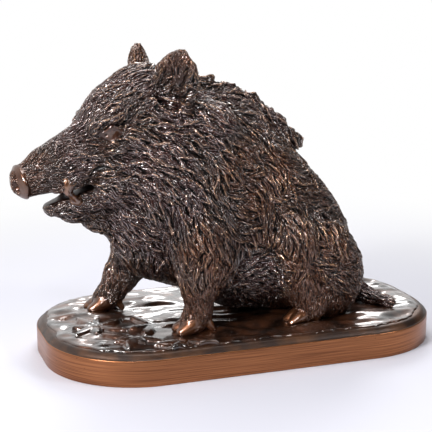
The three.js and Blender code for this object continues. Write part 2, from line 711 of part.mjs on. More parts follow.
// Collapses the edges that change the shape least until `target` triangles are left.
function thin({ positions, triangles }, target) {
  const faces = triangles.map((face) => [...face]);
  const facesOf = positions.map(() => new Set());
  const sums = positions.map(() => new PlaneSum());
  const version = new Uint32Array(positions.length);
  const plane = new THREE.Plane();
  const triangle = new THREE.Triangle();
  faces.forEach((face, f) => {
    const corners = face.map((v) => positions[v]);
    plane.setFromCoplanarPoints(...corners);
    triangle.set(...corners);
    const weight = triangle.getArea();
    face.forEach((v) => {
      facesOf[v].add(f);
      sums[v].addPlane(plane.normal, plane.constant, weight);
    });
  });
  const neighbours = (v) => {
    const found = new Set();
    facesOf[v].forEach((f) => faces[f].forEach((w) => found.add(w)));
    found.delete(v);
    return found;
  };
  const heap = new CollapseHeap();
  const offer = (a, b) => {
    const sum = new PlaneSum().add(sums[a]).add(sums[b]);
    const middle = positions[a].clone().lerp(positions[b], 0.5);
    const length = positions[a].distanceTo(positions[b]);
    const best = sum.bestPoint();
    const place = best && best.distanceTo(middle) < length ? best : middle;
    const cost = sum.errorAt(place) + 1e-4 * length * length;
    heap.push({ a, b, place, cost, stamps: [version[a], version[b]] });
  };
  positions.forEach((_, v) => neighbours(v).forEach((w) => v < w && offer(v, w)));
  const before = new THREE.Vector3();
  const after = new THREE.Vector3();
  const turnsOver = (v, gone, place) => {
    for (const f of facesOf[v]) {
      if (faces[f].includes(gone)) continue;
      const corners = faces[f].map((w) => positions[w]);
      triangle.set(...corners).getNormal(before);
      triangle.set(...faces[f].map((w) => (w === v ? place : positions[w]))).getNormal(after);
      if (before.dot(after) < 0.3 || triangle.getArea() < 0.01) return true;
    }
    return false;
  };
  let left = faces.length;
  while (left > target && heap.items.length) {
    const { a, b, place, stamps } = heap.pop();
    if (stamps[0] !== version[a] || stamps[1] !== version[b]) continue;
    const ringB = neighbours(b);
    const shared = [...neighbours(a)].filter((v) => ringB.has(v));
    if (shared.length !== 2 || turnsOver(a, b, place) || turnsOver(b, a, place)) continue;
    for (const f of [...facesOf[b]]) {
      if (faces[f].includes(a)) {
        faces[f].forEach((v) => facesOf[v].delete(f));
        faces[f] = null;
        left -= 1;
      } else {
        faces[f] = faces[f].map((v) => (v === b ? a : v));
        facesOf[a].add(f);
      }
    }
    facesOf[b].clear();
    positions[a].copy(place);
    sums[a].add(sums[b]);
    version[b] += 1;
    version[a] += 1;
    neighbours(a).forEach((v) => offer(a, v));
  }
  return { positions, triangles: faces.filter(Boolean) };
}

// ---------------------------------------------------------------- the plinth

// The level of the modelled ground: long uneven swells that cross each other.
function groundLevel(x, y) {
  const swell = ({ height, alongX, alongY }) => height * Math.sin(x / alongX + y / alongY);
  return GROUND_SWELLS.reduce((level, wave) => level + swell(wave), GROUND_HEIGHT);
}

// The outline as a core point and an outward way at each step round it.
function outlineSteps() {
  const coreX = PLINTH_LENGTH / 2 - PLINTH_CORNER_RADIUS;
  const coreY = PLINTH_WIDTH / 2 - PLINTH_CORNER_RADIUS;
  const arcSteps = 9;
  const longSteps = (OUTLINE_SEGMENTS - 4 * arcSteps - 4) / 2;
  const shortSteps = 2;
  const corners = [
    { x: coreX, y: coreY, straight: longSteps },
    { x: -coreX, y: coreY, straight: shortSteps },
    { x: -coreX, y: -coreY, straight: longSteps },
    { x: coreX, y: -coreY, straight: shortSteps },
  ];
  const steps = [];
  corners.forEach((corner, quarter) => {
    const next = corners[(quarter + 1) % 4];
    const turn = (share) => ((quarter + share) * Math.PI) / 2;
    for (let i = 0; i <= arcSteps; i += 1) {
      const angle = turn(i / arcSteps);
      steps.push({ x: corner.x, y: corner.y, wayX: Math.cos(angle), wayY: Math.sin(angle) });
    }
    for (let i = 1; i < corner.straight; i += 1) {
      const share = i / corner.straight;
      steps.push({
        x: corner.x + (next.x - corner.x) * share,
        y: corner.y + (next.y - corner.y) * share,
        wayX: Math.cos(turn(1)),
        wayY: Math.sin(turn(1)),
      });
    }
  });
  return steps;
}

// Rings from the underside up the rim, over the shoulder and in across the ground. The underside
// and the middle of the ground are closed by strips from each step to the one opposite.
function plinthShell() {
  const steps = outlineSteps();
  const point = (step, inset, level) => {
    const radius = PLINTH_CORNER_RADIUS - inset;
    const x = step.x + step.wayX * radius;
    const y = step.y + step.wayY * radius;
    return new THREE.Vector3(x, y, level ?? groundLevel(x, y));
  };
  const rings = [
    steps.map((step) => point(step, 0, 0)),
    steps.map((step) => point(step, 0, RIM_HEIGHT - ARRIS)),
    steps.map((step) => point(step, ARRIS, RIM_HEIGHT)),
    steps.map((step) => point(step, SHOULDER_INSET, SHOULDER_HEIGHT)),
  ];
  for (let ring = 0; ring < GROUND_RINGS; ring += 1) {
    const share = ring / (GROUND_RINGS - 1);
    const inset = THREE.MathUtils.lerp(GROUND_FIRST_INSET, GROUND_LAST_INSET, share);
    const wander = ring === 0 ? EDGE_WANDER : 0;
    rings.push(steps.map((step, i) => point(step, inset + wander * Math.sin(1.3 * i))));
  }
  const count = steps.length;
  const triangles = [];
  for (let ring = 0; ring + 1 < rings.length; ring += 1) {
    for (let i = 0; i < count; i += 1) {
      const here = ring * count + i;
      const next = ring * count + ((i + 1) % count);
      triangles.push([here, next, next + count], [here, next + count, here + count]);
    }
  }
  const top = (rings.length - 1) * count;
  const opposite = (i) => count - 2 - i;
  const half = count / 2 - 1;
  const lid = [[count - 1, 0, opposite(0)], [half - 1, half, half + 1]];
  for (let i = 0; i + 1 < half; i += 1) {
    const [a, b, c, d] = [i, i + 1, opposite(i + 1), opposite(i)];
    lid.push([a, b, c], [a, c, d]);
  }
  lid.forEach(([a, b, c]) => triangles.push([top + a, top + b, top + c], [c, b, a]));
  return { positions: rings.flat(), triangles };
}

// Leaves of a low plant that lies on the ground, fanned out from its root.
function plantLeaves() {
  return LEAF_ANGLES.map((angle, i) => {
    const length = LEAF_LENGTH * (i % 2 ? 0.8 : 1);
    const leaf = new THREE.SphereGeometry(1, 10, 6);
    leaf.scale(length / 2, LEAF_WIDTH / 2, LEAF_THICKNESS / 2);
    leaf.translate(length / 2, 0, 0);
    leaf.rotateY(-LEAF_LIFT * DEGREE);
    leaf.rotateZ(angle * DEGREE);
    const [x, y] = PLANT_ROOT;
    leaf.translate(x, y, groundLevel(x, y));
    return leaf;
  });
}

// ---------------------------------------------------------------- solids

function geometryOf({ positions, triangles }) {
  const geometry = new THREE.BufferGeometry().setFromPoints(positions);
  geometry.setIndex(triangles.flat());
  return geometry;
}

function solidOf(geometry) {
  const bare = new THREE.BufferGeometry();
  bare.setAttribute("position", geometry.getAttribute("position"));
  bare.setIndex(geometry.index);
  const merged = mergeVertices(bare, 1e-4);
  const vertProperties = merged.getAttribute("position").array;
  const triVerts = new Uint32Array(merged.index.array);
  return new wasm.Manifold(new wasm.Mesh({ numProp: 3, vertProperties, triVerts }));
}

function meshOf(name, solid, finish) {
  const { vertProperties, triVerts } = solid.getMesh();
  const geometry = new THREE.BufferGeometry();
  geometry.setAttribute("position", new THREE.BufferAttribute(vertProperties, 3));
  geometry.setIndex(new THREE.BufferAttribute(triVerts, 1));
  geometry.computeVertexNormals();
  const mesh = new THREE.Mesh(geometry, new THREE.MeshStandardMaterial(finish));
  mesh.name = name;
  return mesh;
}

function castPlinth() {
  const shell = solidOf(geometryOf(plinthShell()));
  return plantLeaves().reduce((solid, leaf) => solid.add(solidOf(leaf)), shell);
}

// The boar is cut to the ground that it sits on, with a thin clearance.
function castBoar(plinth) {
  const lattice = sampleLattice(sculptBoar());
  closePinches(lattice);
  const shell = thin(skinLattice(lattice), SKIN_TRIANGLES);
  const used = solidOf(geometryOf(shell));
  const seated = used.subtract(plinth.translate([0, 0, SEAT_GAP]));
  const bodies = seated.decompose();
  return bodies.reduce((largest, body) => (body.volume() > largest.volume() ? body : largest));
}

const plinthSolid = castPlinth();
const group = new THREE.Group();
group.add(meshOf("plinth", plinthSolid, RUBBED_BRONZE));
group.add(meshOf("boar", castBoar(plinthSolid), PATINATED_BRONZE));

export default group;
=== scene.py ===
"""A seated wild boar in cast bronze on its plinth, with its coat carved lock by lock.

The solid model gives the boar's masses and the plinth's sizes. Here the same masses are laid on a
finer lattice, the coat is combed over them, and both castings get their patina. Sculpting is done
in millimetres, and the finished meshes are in metres.
"""

import logging
import math
from collections.abc import Callable, Iterator
from dataclasses import dataclass, field
from enum import Enum

import bmesh
import bpy
import numpy as np
from bpy.types import Material, Mesh, Node, NodeLinks, Nodes, NodeSocket, Object
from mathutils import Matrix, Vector, kdtree, noise


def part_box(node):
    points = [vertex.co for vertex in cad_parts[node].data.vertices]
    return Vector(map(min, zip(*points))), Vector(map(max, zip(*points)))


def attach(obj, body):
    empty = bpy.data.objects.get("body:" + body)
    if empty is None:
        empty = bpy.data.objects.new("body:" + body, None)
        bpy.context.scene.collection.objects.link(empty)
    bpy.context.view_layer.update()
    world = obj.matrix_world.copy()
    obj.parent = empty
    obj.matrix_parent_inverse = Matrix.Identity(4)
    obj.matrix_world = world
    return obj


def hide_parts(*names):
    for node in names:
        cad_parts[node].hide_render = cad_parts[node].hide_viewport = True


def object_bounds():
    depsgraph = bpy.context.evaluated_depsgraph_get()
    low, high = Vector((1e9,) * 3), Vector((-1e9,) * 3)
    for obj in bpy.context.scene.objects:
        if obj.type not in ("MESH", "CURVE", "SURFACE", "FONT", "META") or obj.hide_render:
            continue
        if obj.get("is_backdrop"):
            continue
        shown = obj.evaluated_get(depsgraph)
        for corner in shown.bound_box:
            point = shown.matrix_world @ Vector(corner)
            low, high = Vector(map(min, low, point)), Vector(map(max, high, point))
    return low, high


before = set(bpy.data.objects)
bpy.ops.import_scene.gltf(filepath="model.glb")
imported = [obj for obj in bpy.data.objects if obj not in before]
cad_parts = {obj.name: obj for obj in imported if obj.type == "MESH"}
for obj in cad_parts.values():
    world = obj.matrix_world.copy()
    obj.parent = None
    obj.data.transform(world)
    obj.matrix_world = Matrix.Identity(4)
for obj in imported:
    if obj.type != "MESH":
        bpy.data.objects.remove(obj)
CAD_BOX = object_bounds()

log = logging.getLogger("boar")

Vec3 = tuple[float, float, float]
MM = 0.001
SEED = 4150
AROUND = [(i, j, k) for i in (-1, 0, 1) for j in (-1, 0, 1) for k in (-1, 0, 1)]


# ---- frames


@dataclass(frozen=True)
class Frame:
    """An origin and three unit axes, as rows: forward, left and up."""

    origin: np.ndarray
    axes: np.ndarray

    def point(self, place: Vec3) -> np.ndarray:
        """Returns a place of this frame as a world point."""
        return self.origin + np.asarray(place, float) @ self.axes

    def way(self, way: Vec3) -> np.ndarray:
        """Returns a direction of this frame as a world direction."""
        return np.asarray(way, float) @ self.axes

    def pitched(self, degrees: float) -> np.ndarray:
        """Returns the axes turned about the left axis, the forward end lowered.

        Args:
            degrees: How far the forward end is lowered.

        Returns:
            Three rows of unit axes.
        """
        turn = math.radians(degrees)
        forward, left, up = self.axes
        lowered = forward * math.cos(turn) - up * math.sin(turn)
        raised = up * math.cos(turn) + forward * math.sin(turn)
        return np.array([lowered, left, raised])


BODY = Frame(np.zeros(3), np.eye(3))


def unit(way: np.ndarray) -> np.ndarray:
    """Returns directions scaled to length one, along the last axis."""
    size = np.linalg.norm(way, axis=-1, keepdims=True)
    return way / np.maximum(size, 1e-9)


def mirrored(place: Vec3) -> Vec3:
    """Returns a place with its left-hand part changed to the right."""
    return (place[0], -place[1], place[2])


# ---- clay


@dataclass(frozen=True)
class Ball:
    """A rounded mass in its frame.

    `join` is the width of the soft seam to what was laid before it. `both` lays a mirrored pair,
    and `cut` hollows instead. Hair grows only where `bare` is zero; above that it tells how far
    the metal is rubbed bright, and the rest of that bare place is darkened, partly as painted
    shade.
    """

    centre: Vec3
    radii: Vec3
    join: float
    pitch: float = 0.0
    cut: bool = False
    both: bool = False
    bare: float = 0.0


@dataclass(frozen=True)
class Limb:
    """A tapered limb in its frame, with a radius at each end.

    `width` scales it across and `depth` scales it along its frame's forward axis.
    """

    start: Vec3
    end: Vec3
    radii: tuple[float, float]
    join: float
    width: float = 0.0
    depth: float = 0.0
    cut: bool = False
    both: bool = False
    bare: float = 0.0


class BallShape:
    """A rounded mass in the world, with a distance that is true close to its surface."""

    def __init__(self, centre: np.ndarray, radii: Vec3, axes: np.ndarray) -> None:
        """Keeps the centre, the three radii and the rows of axes."""
        self.centre = centre
        self.radii = np.asarray(radii, float)
        self.axes = axes

    def distance(self, points: np.ndarray) -> np.ndarray:
        """Returns each point's signed distance, negative inside."""
        scaled = ((points - self.centre) @ self.axes.T) / self.radii
        inside = np.sqrt((scaled * scaled).sum(-1))
        slope = scaled / self.radii
        steep = np.sqrt((slope * slope).sum(-1))
        return inside * (inside - 1.0) / np.maximum(steep, 1e-6)

    def reach(self) -> tuple[np.ndarray, np.ndarray]:
        """Returns the lowest and highest corner of its box."""
        extent = np.sqrt(((self.axes * self.radii[:, None]) ** 2).sum(0))
        return self.centre - extent, self.centre + extent


class LimbShape:
    """A tapered limb in the world, widened or narrowed along one direction."""

    def __init__(
        self,
        start: np.ndarray,
        end: np.ndarray,
        radii: tuple[float, float],
        across: np.ndarray | None = None,
        factor: float = 1.0,
    ) -> None:
        """Keeps the ends, their radii, and the direction and factor of widening."""
        self.start = start
        self.end = end
        self.radii = radii
        self.across = across
        self.factor = factor

    def squeezed(self, offset: np.ndarray) -> np.ndarray:
        """Returns offsets with their part along `across` divided by the factor."""
        if self.across is None:
            return offset
        part = (offset @ self.across)[..., None] * self.across
        return offset - part * (1.0 - 1.0 / self.factor)

    def distance(self, points: np.ndarray) -> np.ndarray:
        """Returns each point's signed distance, negative inside."""
        offset = self.squeezed(points - self.start)
        run = self.squeezed(self.end - self.start)
        along = np.clip((offset @ run) / (run @ run), 0.0, 1.0)
        away = offset - along[..., None] * run
        radius = self.radii[0] + (self.radii[1] - self.radii[0]) * along
        return (np.sqrt((away * away).sum(-1)) - radius) * min(1.0, self.factor)

    def reach(self) -> tuple[np.ndarray, np.ndarray]:
        """Returns the lowest and highest corner of its box."""
        radius = max(self.radii) * max(1.0, self.factor)
        return np.minimum(self.start, self.end) - radius, np.maximum(self.start, self.end) + radius


Shape = BallShape | LimbShape


def soft_join(a: np.ndarray, b: np.ndarray, width: float) -> np.ndarray:
    """Returns the smaller of two distances, with a rounded seam of the given width."""
    overlap = np.maximum(width - np.abs(a - b), 0.0) / width
    return np.minimum(a, b) - overlap * overlap * width * 0.25


@dataclass(frozen=True)
class Laid:
    """A mass as it was laid on the clay."""

    shape: Shape
    join: float
    cut: bool
    bare: float

    def joined(self, value: np.ndarray, distance: np.ndarray) -> np.ndarray:
        """Returns the clay's distance once this mass is joined to it or cut from it."""
        if self.cut:
            return -soft_join(-value, distance, self.join)
        return soft_join(value, distance, self.join)


@dataclass
class Clay:
    """Masses joined softly in the order in which they are laid.

    `open_air` is the distance that stands for no clay near. `margin` is how far round itself a
    mass is sampled, `nudge` the step for slopes, and `touching` the distance that counts as met.
    """

    open_air: float = 60.0
    margin: float = 16.0
    nudge: float = 0.5
    touching: float = 0.05
    least_stride: float = 0.1
    caution: float = 0.7
    laid: list[Laid] = field(default_factory=list)

    def lay(self, shape: Shape, join: float, cut: bool = False, bare: float = 0.0) -> None:
        """Lays one mass."""
        self.laid.append(Laid(shape, join, cut, bare))

    def lay_all(self, at: Frame, masses: tuple[Ball | Limb, ...]) -> None:
        """Lays a table of masses that are given in a frame.

        Args:
            at: The frame that the masses are given in.
            masses: The masses, in order.
        """
        for mass in masses:
            for side in (tuple, mirrored) if mass.both else (tuple,):
                self.lay(self.shape_of(at, mass, side), mass.join, mass.cut, mass.bare)

    @staticmethod
    def shape_of(at: Frame, mass: Ball | Limb, side: Callable[[Vec3], Vec3]) -> Shape:
        """Returns a mass as a shape in the world, on one side of its frame.

        Args:
            at: The frame that the mass is given in.
            mass: The mass.
            side: What a place goes through: `tuple` for the left side, `mirrored` for the right.

        Returns:
            The shape.
        """
        if isinstance(mass, Ball):
            return BallShape(at.point(side(mass.centre)), mass.radii, at.pitched(mass.pitch))
        ends = at.point(side(mass.start)), at.point(side(mass.end))
        if mass.width:
            return LimbShape(*ends, mass.radii, at.axes[1], mass.width)
        if mass.depth:
            return LimbShape(*ends, mass.radii, at.axes[0], mass.depth)
        return LimbShape(*ends, mass.radii)

    def value(self, points: np.ndarray) -> np.ndarray:
        """Returns the signed distance of points to the skin, negative inside."""
        value = np.full(len(points), self.open_air)
        for mass in self.laid:
            value = mass.joined(value, mass.shape.distance(points))
        return value

    def outward(self, points: np.ndarray) -> np.ndarray:
        """Returns the unit direction out of the skin at each point."""
        nudges = np.eye(3) * self.nudge
        slope = [self.value(points + nudge) - self.value(points - nudge) for nudge in nudges]
        return unit(np.stack(slope, -1))

    def walked(
        self, starts: np.ndarray, ways: np.ndarray, furthest: float
    ) -> tuple[np.ndarray, np.ndarray]:
        """Walks points along their ways until they meet the skin.

        Args:
            starts: Where each walk begins.
            ways: Unit directions of the walks.
            furthest: How far a walk may go.

        Returns:
            The points reached, and which of them lie on the skin.
        """
        points = starts.copy()
        travelled = np.zeros(len(points))
        found = np.zeros(len(points), bool)
        while True:
            going = np.flatnonzero(~found & (travelled < furthest))
            if not len(going):
                return points, found
            distance = self.value(points[going])
            met = distance < self.touching
            found[going[met]] = True
            stride = np.where(met, 0.0, np.maximum(self.least_stride, distance * self.caution))
            points[going] += ways[going] * stride[:, None]
            travelled[going] += stride

    def sampled(self, grid: tuple[np.ndarray, np.ndarray, np.ndarray]) -> np.ndarray:
        """Samples the clay on a lattice, each mass only near itself.

        Args:
            grid: The lattice's places along x, y and z.

        Returns:
            The signed distances, as a block of 32-bit numbers.
        """
        field_values = np.full([len(line) for line in grid], self.open_air, np.float32)
        for mass in self.laid:
            low, high = mass.shape.reach()
            first = [int(np.searchsorted(g, v - self.margin)) for g, v in zip(grid, low)]
            last = [int(np.searchsorted(g, v + self.margin)) for g, v in zip(grid, high)]
            if any(b <= a for a, b in zip(first, last)):
                continue
            part = tuple(slice(a, b) for a, b in zip(first, last))
            mesh = np.meshgrid(*[g[s] for g, s in zip(grid, part)], indexing="ij")
            points = np.stack(mesh, -1).astype(np.float32)
            distance = mass.shape.distance(points).astype(np.float32)
            field_values[part] = mass.joined(field_values[part], distance)
        return field_values


# ---- skin


class Skinner:
    """Turns a block of signed distances into a closed skin of quads."""

    CORNERS = [(i, j, k) for i in (0, 1) for j in (0, 1) for k in (0, 1)]

    def __init__(self, values: np.ndarray, grid: tuple[np.ndarray, ...]) -> None:
        """Keeps the block and the lattice's places."""
        self.values = values
        self.grid = grid
        self.inside = values < 0

    def vertices(self) -> tuple[np.ndarray, np.ndarray]:
        """Puts one vertex in each cell that the skin passes through.

        Returns:
            The vertices, and a block that gives each cell's vertex.
        """
        shape = [n - 1 for n in self.values.shape]
        count = np.zeros(shape, np.int8)
        for i, j, k in self.CORNERS:
            count += self.inside[i : shape[0] + i, j : shape[1] + j, k : shape[2] + k]
        cells = np.argwhere((count > 0) & (count < 8))
        number = np.full(shape, -1, np.int64)
        number[tuple(cells.T)] = np.arange(len(cells))
        total = np.zeros((len(cells), 3))
        crossings = np.zeros(len(cells))
        for corner in self.CORNERS:
            for axis in range(3):
                if corner[axis]:
                    continue
                other = list(corner)
                other[axis] = 1
                here = self.values[tuple((cells + corner).T)]
                there = self.values[tuple((cells + other).T)]
                crossed = (here < 0) != (there < 0)
                share = np.where(crossed, here / np.where(crossed, here - there, 1), 0)
                start = self.places(cells + corner)
                run = self.places(cells + other) - start
                total += np.where(crossed[:, None], start + run * share[:, None], 0)
                crossings += crossed
        return total / crossings[:, None], number

    def places(self, indices: np.ndarray) -> np.ndarray:
        """Returns the lattice places of rows of indices."""
        return np.stack([line[indices[:, axis]] for axis, line in enumerate(self.grid)], 1)

    def quads(self, number: np.ndarray) -> np.ndarray:
        """Makes one quad across each edge of the lattice that the skin crosses.

        Args:
            number: The block that gives each cell's vertex.

        Returns:
            The quads, facing out.
        """
        found = []
        for axis in range(3):
            across, upward = (axis + 1) % 3, (axis + 2) % 3
            ahead = [slice(None)] * 3
            behind = [slice(None)] * 3
            behind[axis] = slice(0, -1)
            ahead[axis] = slice(1, None)
            here, there = self.inside[tuple(behind)], self.inside[tuple(ahead)]
            edges = np.argwhere(here != there)
            kept = (edges[:, across] > 0) & (edges[:, upward] > 0)
            kept &= edges[:, across] < self.values.shape[across] - 1
            kept &= edges[:, upward] < self.values.shape[upward] - 1
            edges = edges[kept]
            ring = []
            for da, du in ((1, 1), (0, 1), (0, 0), (1, 0)):
                cell = edges.copy()
                cell[:, across] -= da
                cell[:, upward] -= du
                ring.append(number[tuple(cell.T)])
            quads = np.stack(ring, 1)
            turned = ~here[tuple(edges.T)]
            quads[turned] = quads[turned][:, ::-1]
            found.append(quads)
        return np.vstack(found)


def vertex_normals(points: np.ndarray, quads: np.ndarray) -> np.ndarray:
    """Returns the unit normal at each vertex of a quad mesh."""
    corners = points[quads]
    face = np.cross(corners[:, 2] - corners[:, 0], corners[:, 3] - corners[:, 1])
    normals = np.zeros_like(points)
    for corner in range(4):
        for axis in range(3):
            normals[:, axis] += np.bincount(quads[:, corner], face[:, axis], len(points))
    return unit(normals)


# ---- anatomy
# Millimetres. The boar faces -X; its left side, towards -Y, mirrors its right.

TRUNK = (
    Ball((-43, 0, 118), (52, 42, 68), 1),  # chest
    Ball((9, 0, 107), (73, 45, 51), 30, pitch=38),  # barrel
    Ball((6, 0, 68), (52, 41, 42), 22),  # belly
    Ball((51, 0, 64), (39, 42, 46), 22),  # rump
    Ball((-20, 0, 154), (40, 27, 36), 22),  # withers
    Ball((-60, -2, 152), (36, 36, 46), 24),  # neck
    Ball((-76, -1, 104), (22, 26, 36), 16),  # dewlap
    Ball((-62, 0, 74), (22, 24, 18), 12),  # brisket
    Ball((-58, 30, 132), (24, 15, 42), 8, pitch=20, both=True),  # ruff
    Ball((-36, 30, 152), (27, 15.4, 34), 1.5, pitch=28, both=True),  # mane's side
    Ball((-30, 31, 110), (32, 19, 48), 8, pitch=14, both=True),  # shoulder
    Ball((-33, 34, 74), (23, 17, 23), 8, both=True),  # elbow
)

HAUNCH = (
    Ball((54, 33, 60), (33, 25, 42), 3, pitch=-22, both=True),  # thigh
    Ball((30, 43, 80), (18, 18, 24), 2.5, pitch=-14, both=True),  # stifle
    Limb((27, 48, 68), (37, 50, 41), (13.5, 8.6), 4, both=True),  # shank
    Ball((44, 50, 34), (9, 7.6, 8.4), 5, both=True),  # hock
    Limb((41, 50, 33), (35, 50, 29), (7.6, 7), 4, both=True),  # hind foot
)

LEFT_FORELEG = (
    Limb((-38, -35, 90), (-42, -40, 66), (20, 14.5), 10),
    Limb((-42, -40, 66), (-43, -42, 52), (14.5, 11), 4),
    Limb((-43, -42, 52), (-44, -43, 38), (11, 9.2), 4),
    Ball((-46, -42.5, 56), (9.5, 11, 10), 5),  # wrist
    Limb((-44, -43, 38), (-48, -43, 31), (9, 9.4), 4),  # pastern
)

RIGHT_FORELEG = (
    Limb((-56, 28, 92), (-70, 30, 66), (24, 17.5), 12),
    Limb((-70, 30, 66), (-82, 31, 48), (17.5, 12), 4),
    Limb((-82, 31, 48), (-90, 31, 36), (12, 9.6), 4),
    Ball((-83, 31, 50), (10, 11.5, 10), 5),  # wrist
    Limb((-90, 31, 36), (-95, 31, 31), (9.2, 9.2), 4),  # pastern
)

TAIL = (
    Limb((90, -6, 48), (98, -11, 32), (8, 6.5), 6),
    Limb((98, -11, 32), (106, -21, 27), (6.5, 5.4), 5),
    Limb((106, -21, 27), (112, -33, 27), (5.4, 4.2), 5),
    Limb((112, -33, 27), (113, -41, 28), (4.2, 2.8), 4),
)

# In the head's frame: forward along the muzzle, left, and up.
SKULL = (
    Ball((4, 0, 14), (34, 27, 34), 14),
    Ball((25, 0, 21), (25, 23, 20), 9),  # forehead
    Limb((38, 0, -1), (82, 0, 3), (26.5, 16), 10, width=0.86),  # muzzle
    Limb((40, 0, 19), (86, 0, 12), (8, 7), 8),  # bridge
    Limb((86, 0, 3.5), (100, 0, 4), (13.5, 12), 5),  # snout
    Ball((105, 0, 4), (3.4, 15.5, 13), 2, pitch=-8, bare=0.6),  # snout disc
    Limb((36, 0, -31), (76, 0, -26), (20, 12.5), 6),  # jaw
    Limb((75, 0, -25), (90, 0, -21), (10.5, 7), 4),  # chin
    Ball((50, 0, -45), (23, 13, 11), 8),  # beard
    Ball((40, 19, -20), (23, 13, 19), 5, both=True),  # cheek
    Ball((10, 28, -32), (22, 15, 28), 2.5, pitch=-24, both=True),  # jowl
    Ball((34, 20, -47), (19, 10, 14), 3, pitch=-10, both=True),  # jowl flap
    Limb((22, 20, 31), (45, 17.5, 22), (6.5, 4.5), 7, both=True),  # brow
    Ball((76, 12, -8), (13, 5, 6), 3, both=True),  # upper lip
    Ball((38, 28.5, 16), (10, 7.5, 6.5), 5, cut=True, both=True),  # eye socket
    Ball((38, 22.2, 16), (3.5, 3.4, 3.2), 0.5, both=True, bare=0.6),  # eye
    Limb((31.5, 24.4, 15.5), (37, 25, 20.2), (1.5, 1.7), 0.8, both=True, bare=0.25),  # lids
    Limb((37, 25, 20.2), (44.5, 21, 17), (1.7, 1.3), 0.8, both=True, bare=0.25),
    Limb((31.5, 24.4, 15.5), (37.5, 24.6, 11.8), (1.4, 1.5), 0.8, both=True, bare=0.25),
    Limb((37.5, 24.6, 11.8), (44.5, 21, 15), (1.5, 1.2), 0.8, both=True, bare=0.25),
    Limb((29, 26, 25), (40, 24.5, 26), (2.3, 2.0), 2.5, both=True),  # fold of the brow
    Limb((40, 24.5, 26), (50, 19.5, 20), (2.0, 1.4), 2.5, both=True),
    Limb((24, 25, 6), (52, 18.5, 4), (5, 3.5), 7, both=True),  # cheekbone
    Limb((56, 17, 8), (80, 12, 8), (3.2, 2.4), 3.5, both=True),  # muzzle fold
)

MOUTH = (
    Limb((118, 0, -11), (57, 0, -17), (6, 1.4), 2, width=9, cut=True, bare=0.1),
    Limb((56, 0, -24), (82, 0, -23), (6, 4), 2, bare=0.2),  # tongue
    Limb((75, 10.5, -22), (80, 15, -12), (2.8, 2.3), 1, both=True, bare=1.0),  # tusk
    Limb((80, 15, -12), (78, 16.5, -3), (2.3, 0.9), 1, both=True, bare=1.0),
    Ball((109, 5, 4.4), (4, 2.4, 3.2), 1.2, cut=True, both=True, bare=0.1),  # nostril
)

# In an ear's frame: along its opening, across, and up to the tip.
EAR = (
    Ball((0, 0, -2), (12, 15, 14), 6),
    Ball((0, 0, 14), (6.2, 16, 24), 4),
    Limb((0, 0, 22), (-1.5, 0, 39), (10.5, 2.8), 5, depth=0.5),
    Ball((6.2, 0, 15), (6.2, 12, 24), 2, cut=True),
    Ball((7.4, 1, 17), (6.6, 9.5, 19), 1.5, cut=True, bare=0.1),
)


# How the broad tufts lie: at each place they run this way, fading out with distance.
BROAD_FLOW: tuple[tuple[Vec3, Vec3], ...] = (
    ((-90, 20, 120), (0.1, 0.1, -1)),  # throat
    ((-62, 44, 150), (0.75, 0.2, -0.75)),  # neck
    ((-40, 44, 110), (0.25, 0, -1)),  # shoulder
    ((-80, 20, 75), (0.3, 0.2, -1)),  # chest
    ((-10, 44, 140), (0.85, 0.1, -0.55)),  # withers' side
    ((10, 46, 100), (0.75, 0, -0.65)),  # flank
    ((40, 40, 110), (0.7, 0.1, -0.7)),  # loin
    ((0, 42, 55), (0.9, 0, -0.4)),  # belly
    ((30, 58, 85), (0.55, 0, -0.8)),  # stifle
    ((60, 58, 70), (0.5, 0, -0.85)),  # thigh
    ((90, 20, 80), (0.1, 0, -1)),  # buttock
    ((-87, 25, 135), (0.6, 0.15, -0.8)),  # cheek
    ((-75, 24, 114), (0.45, 0.1, -0.9)),  # jowl
    ((-38, -40, 70), (0.1, 0, -1)),  # upper foreleg
)


class Lie(Enum):
    """How a lock lies: its sweep to one side as a share of its length, and its waviness."""

    STRAIGHT = (0.10, 0.0)
    SWEPT = (0.26, 0.3)
    CURLED = (0.55, 0.1)
    WAVY = (0.14, 1.0)


@dataclass(frozen=True)
class Comb:
    """How the hair lies at a place of the coat, and what a lock of it measures in millimetres.

    `warmth` is how far the patina there is worn through to the golden metal.
    """

    at: Vec3
    way: Vec3
    length: float
    width: float
    height: float
    lie: Lie = Lie.STRAIGHT
    warmth: float = 0.5


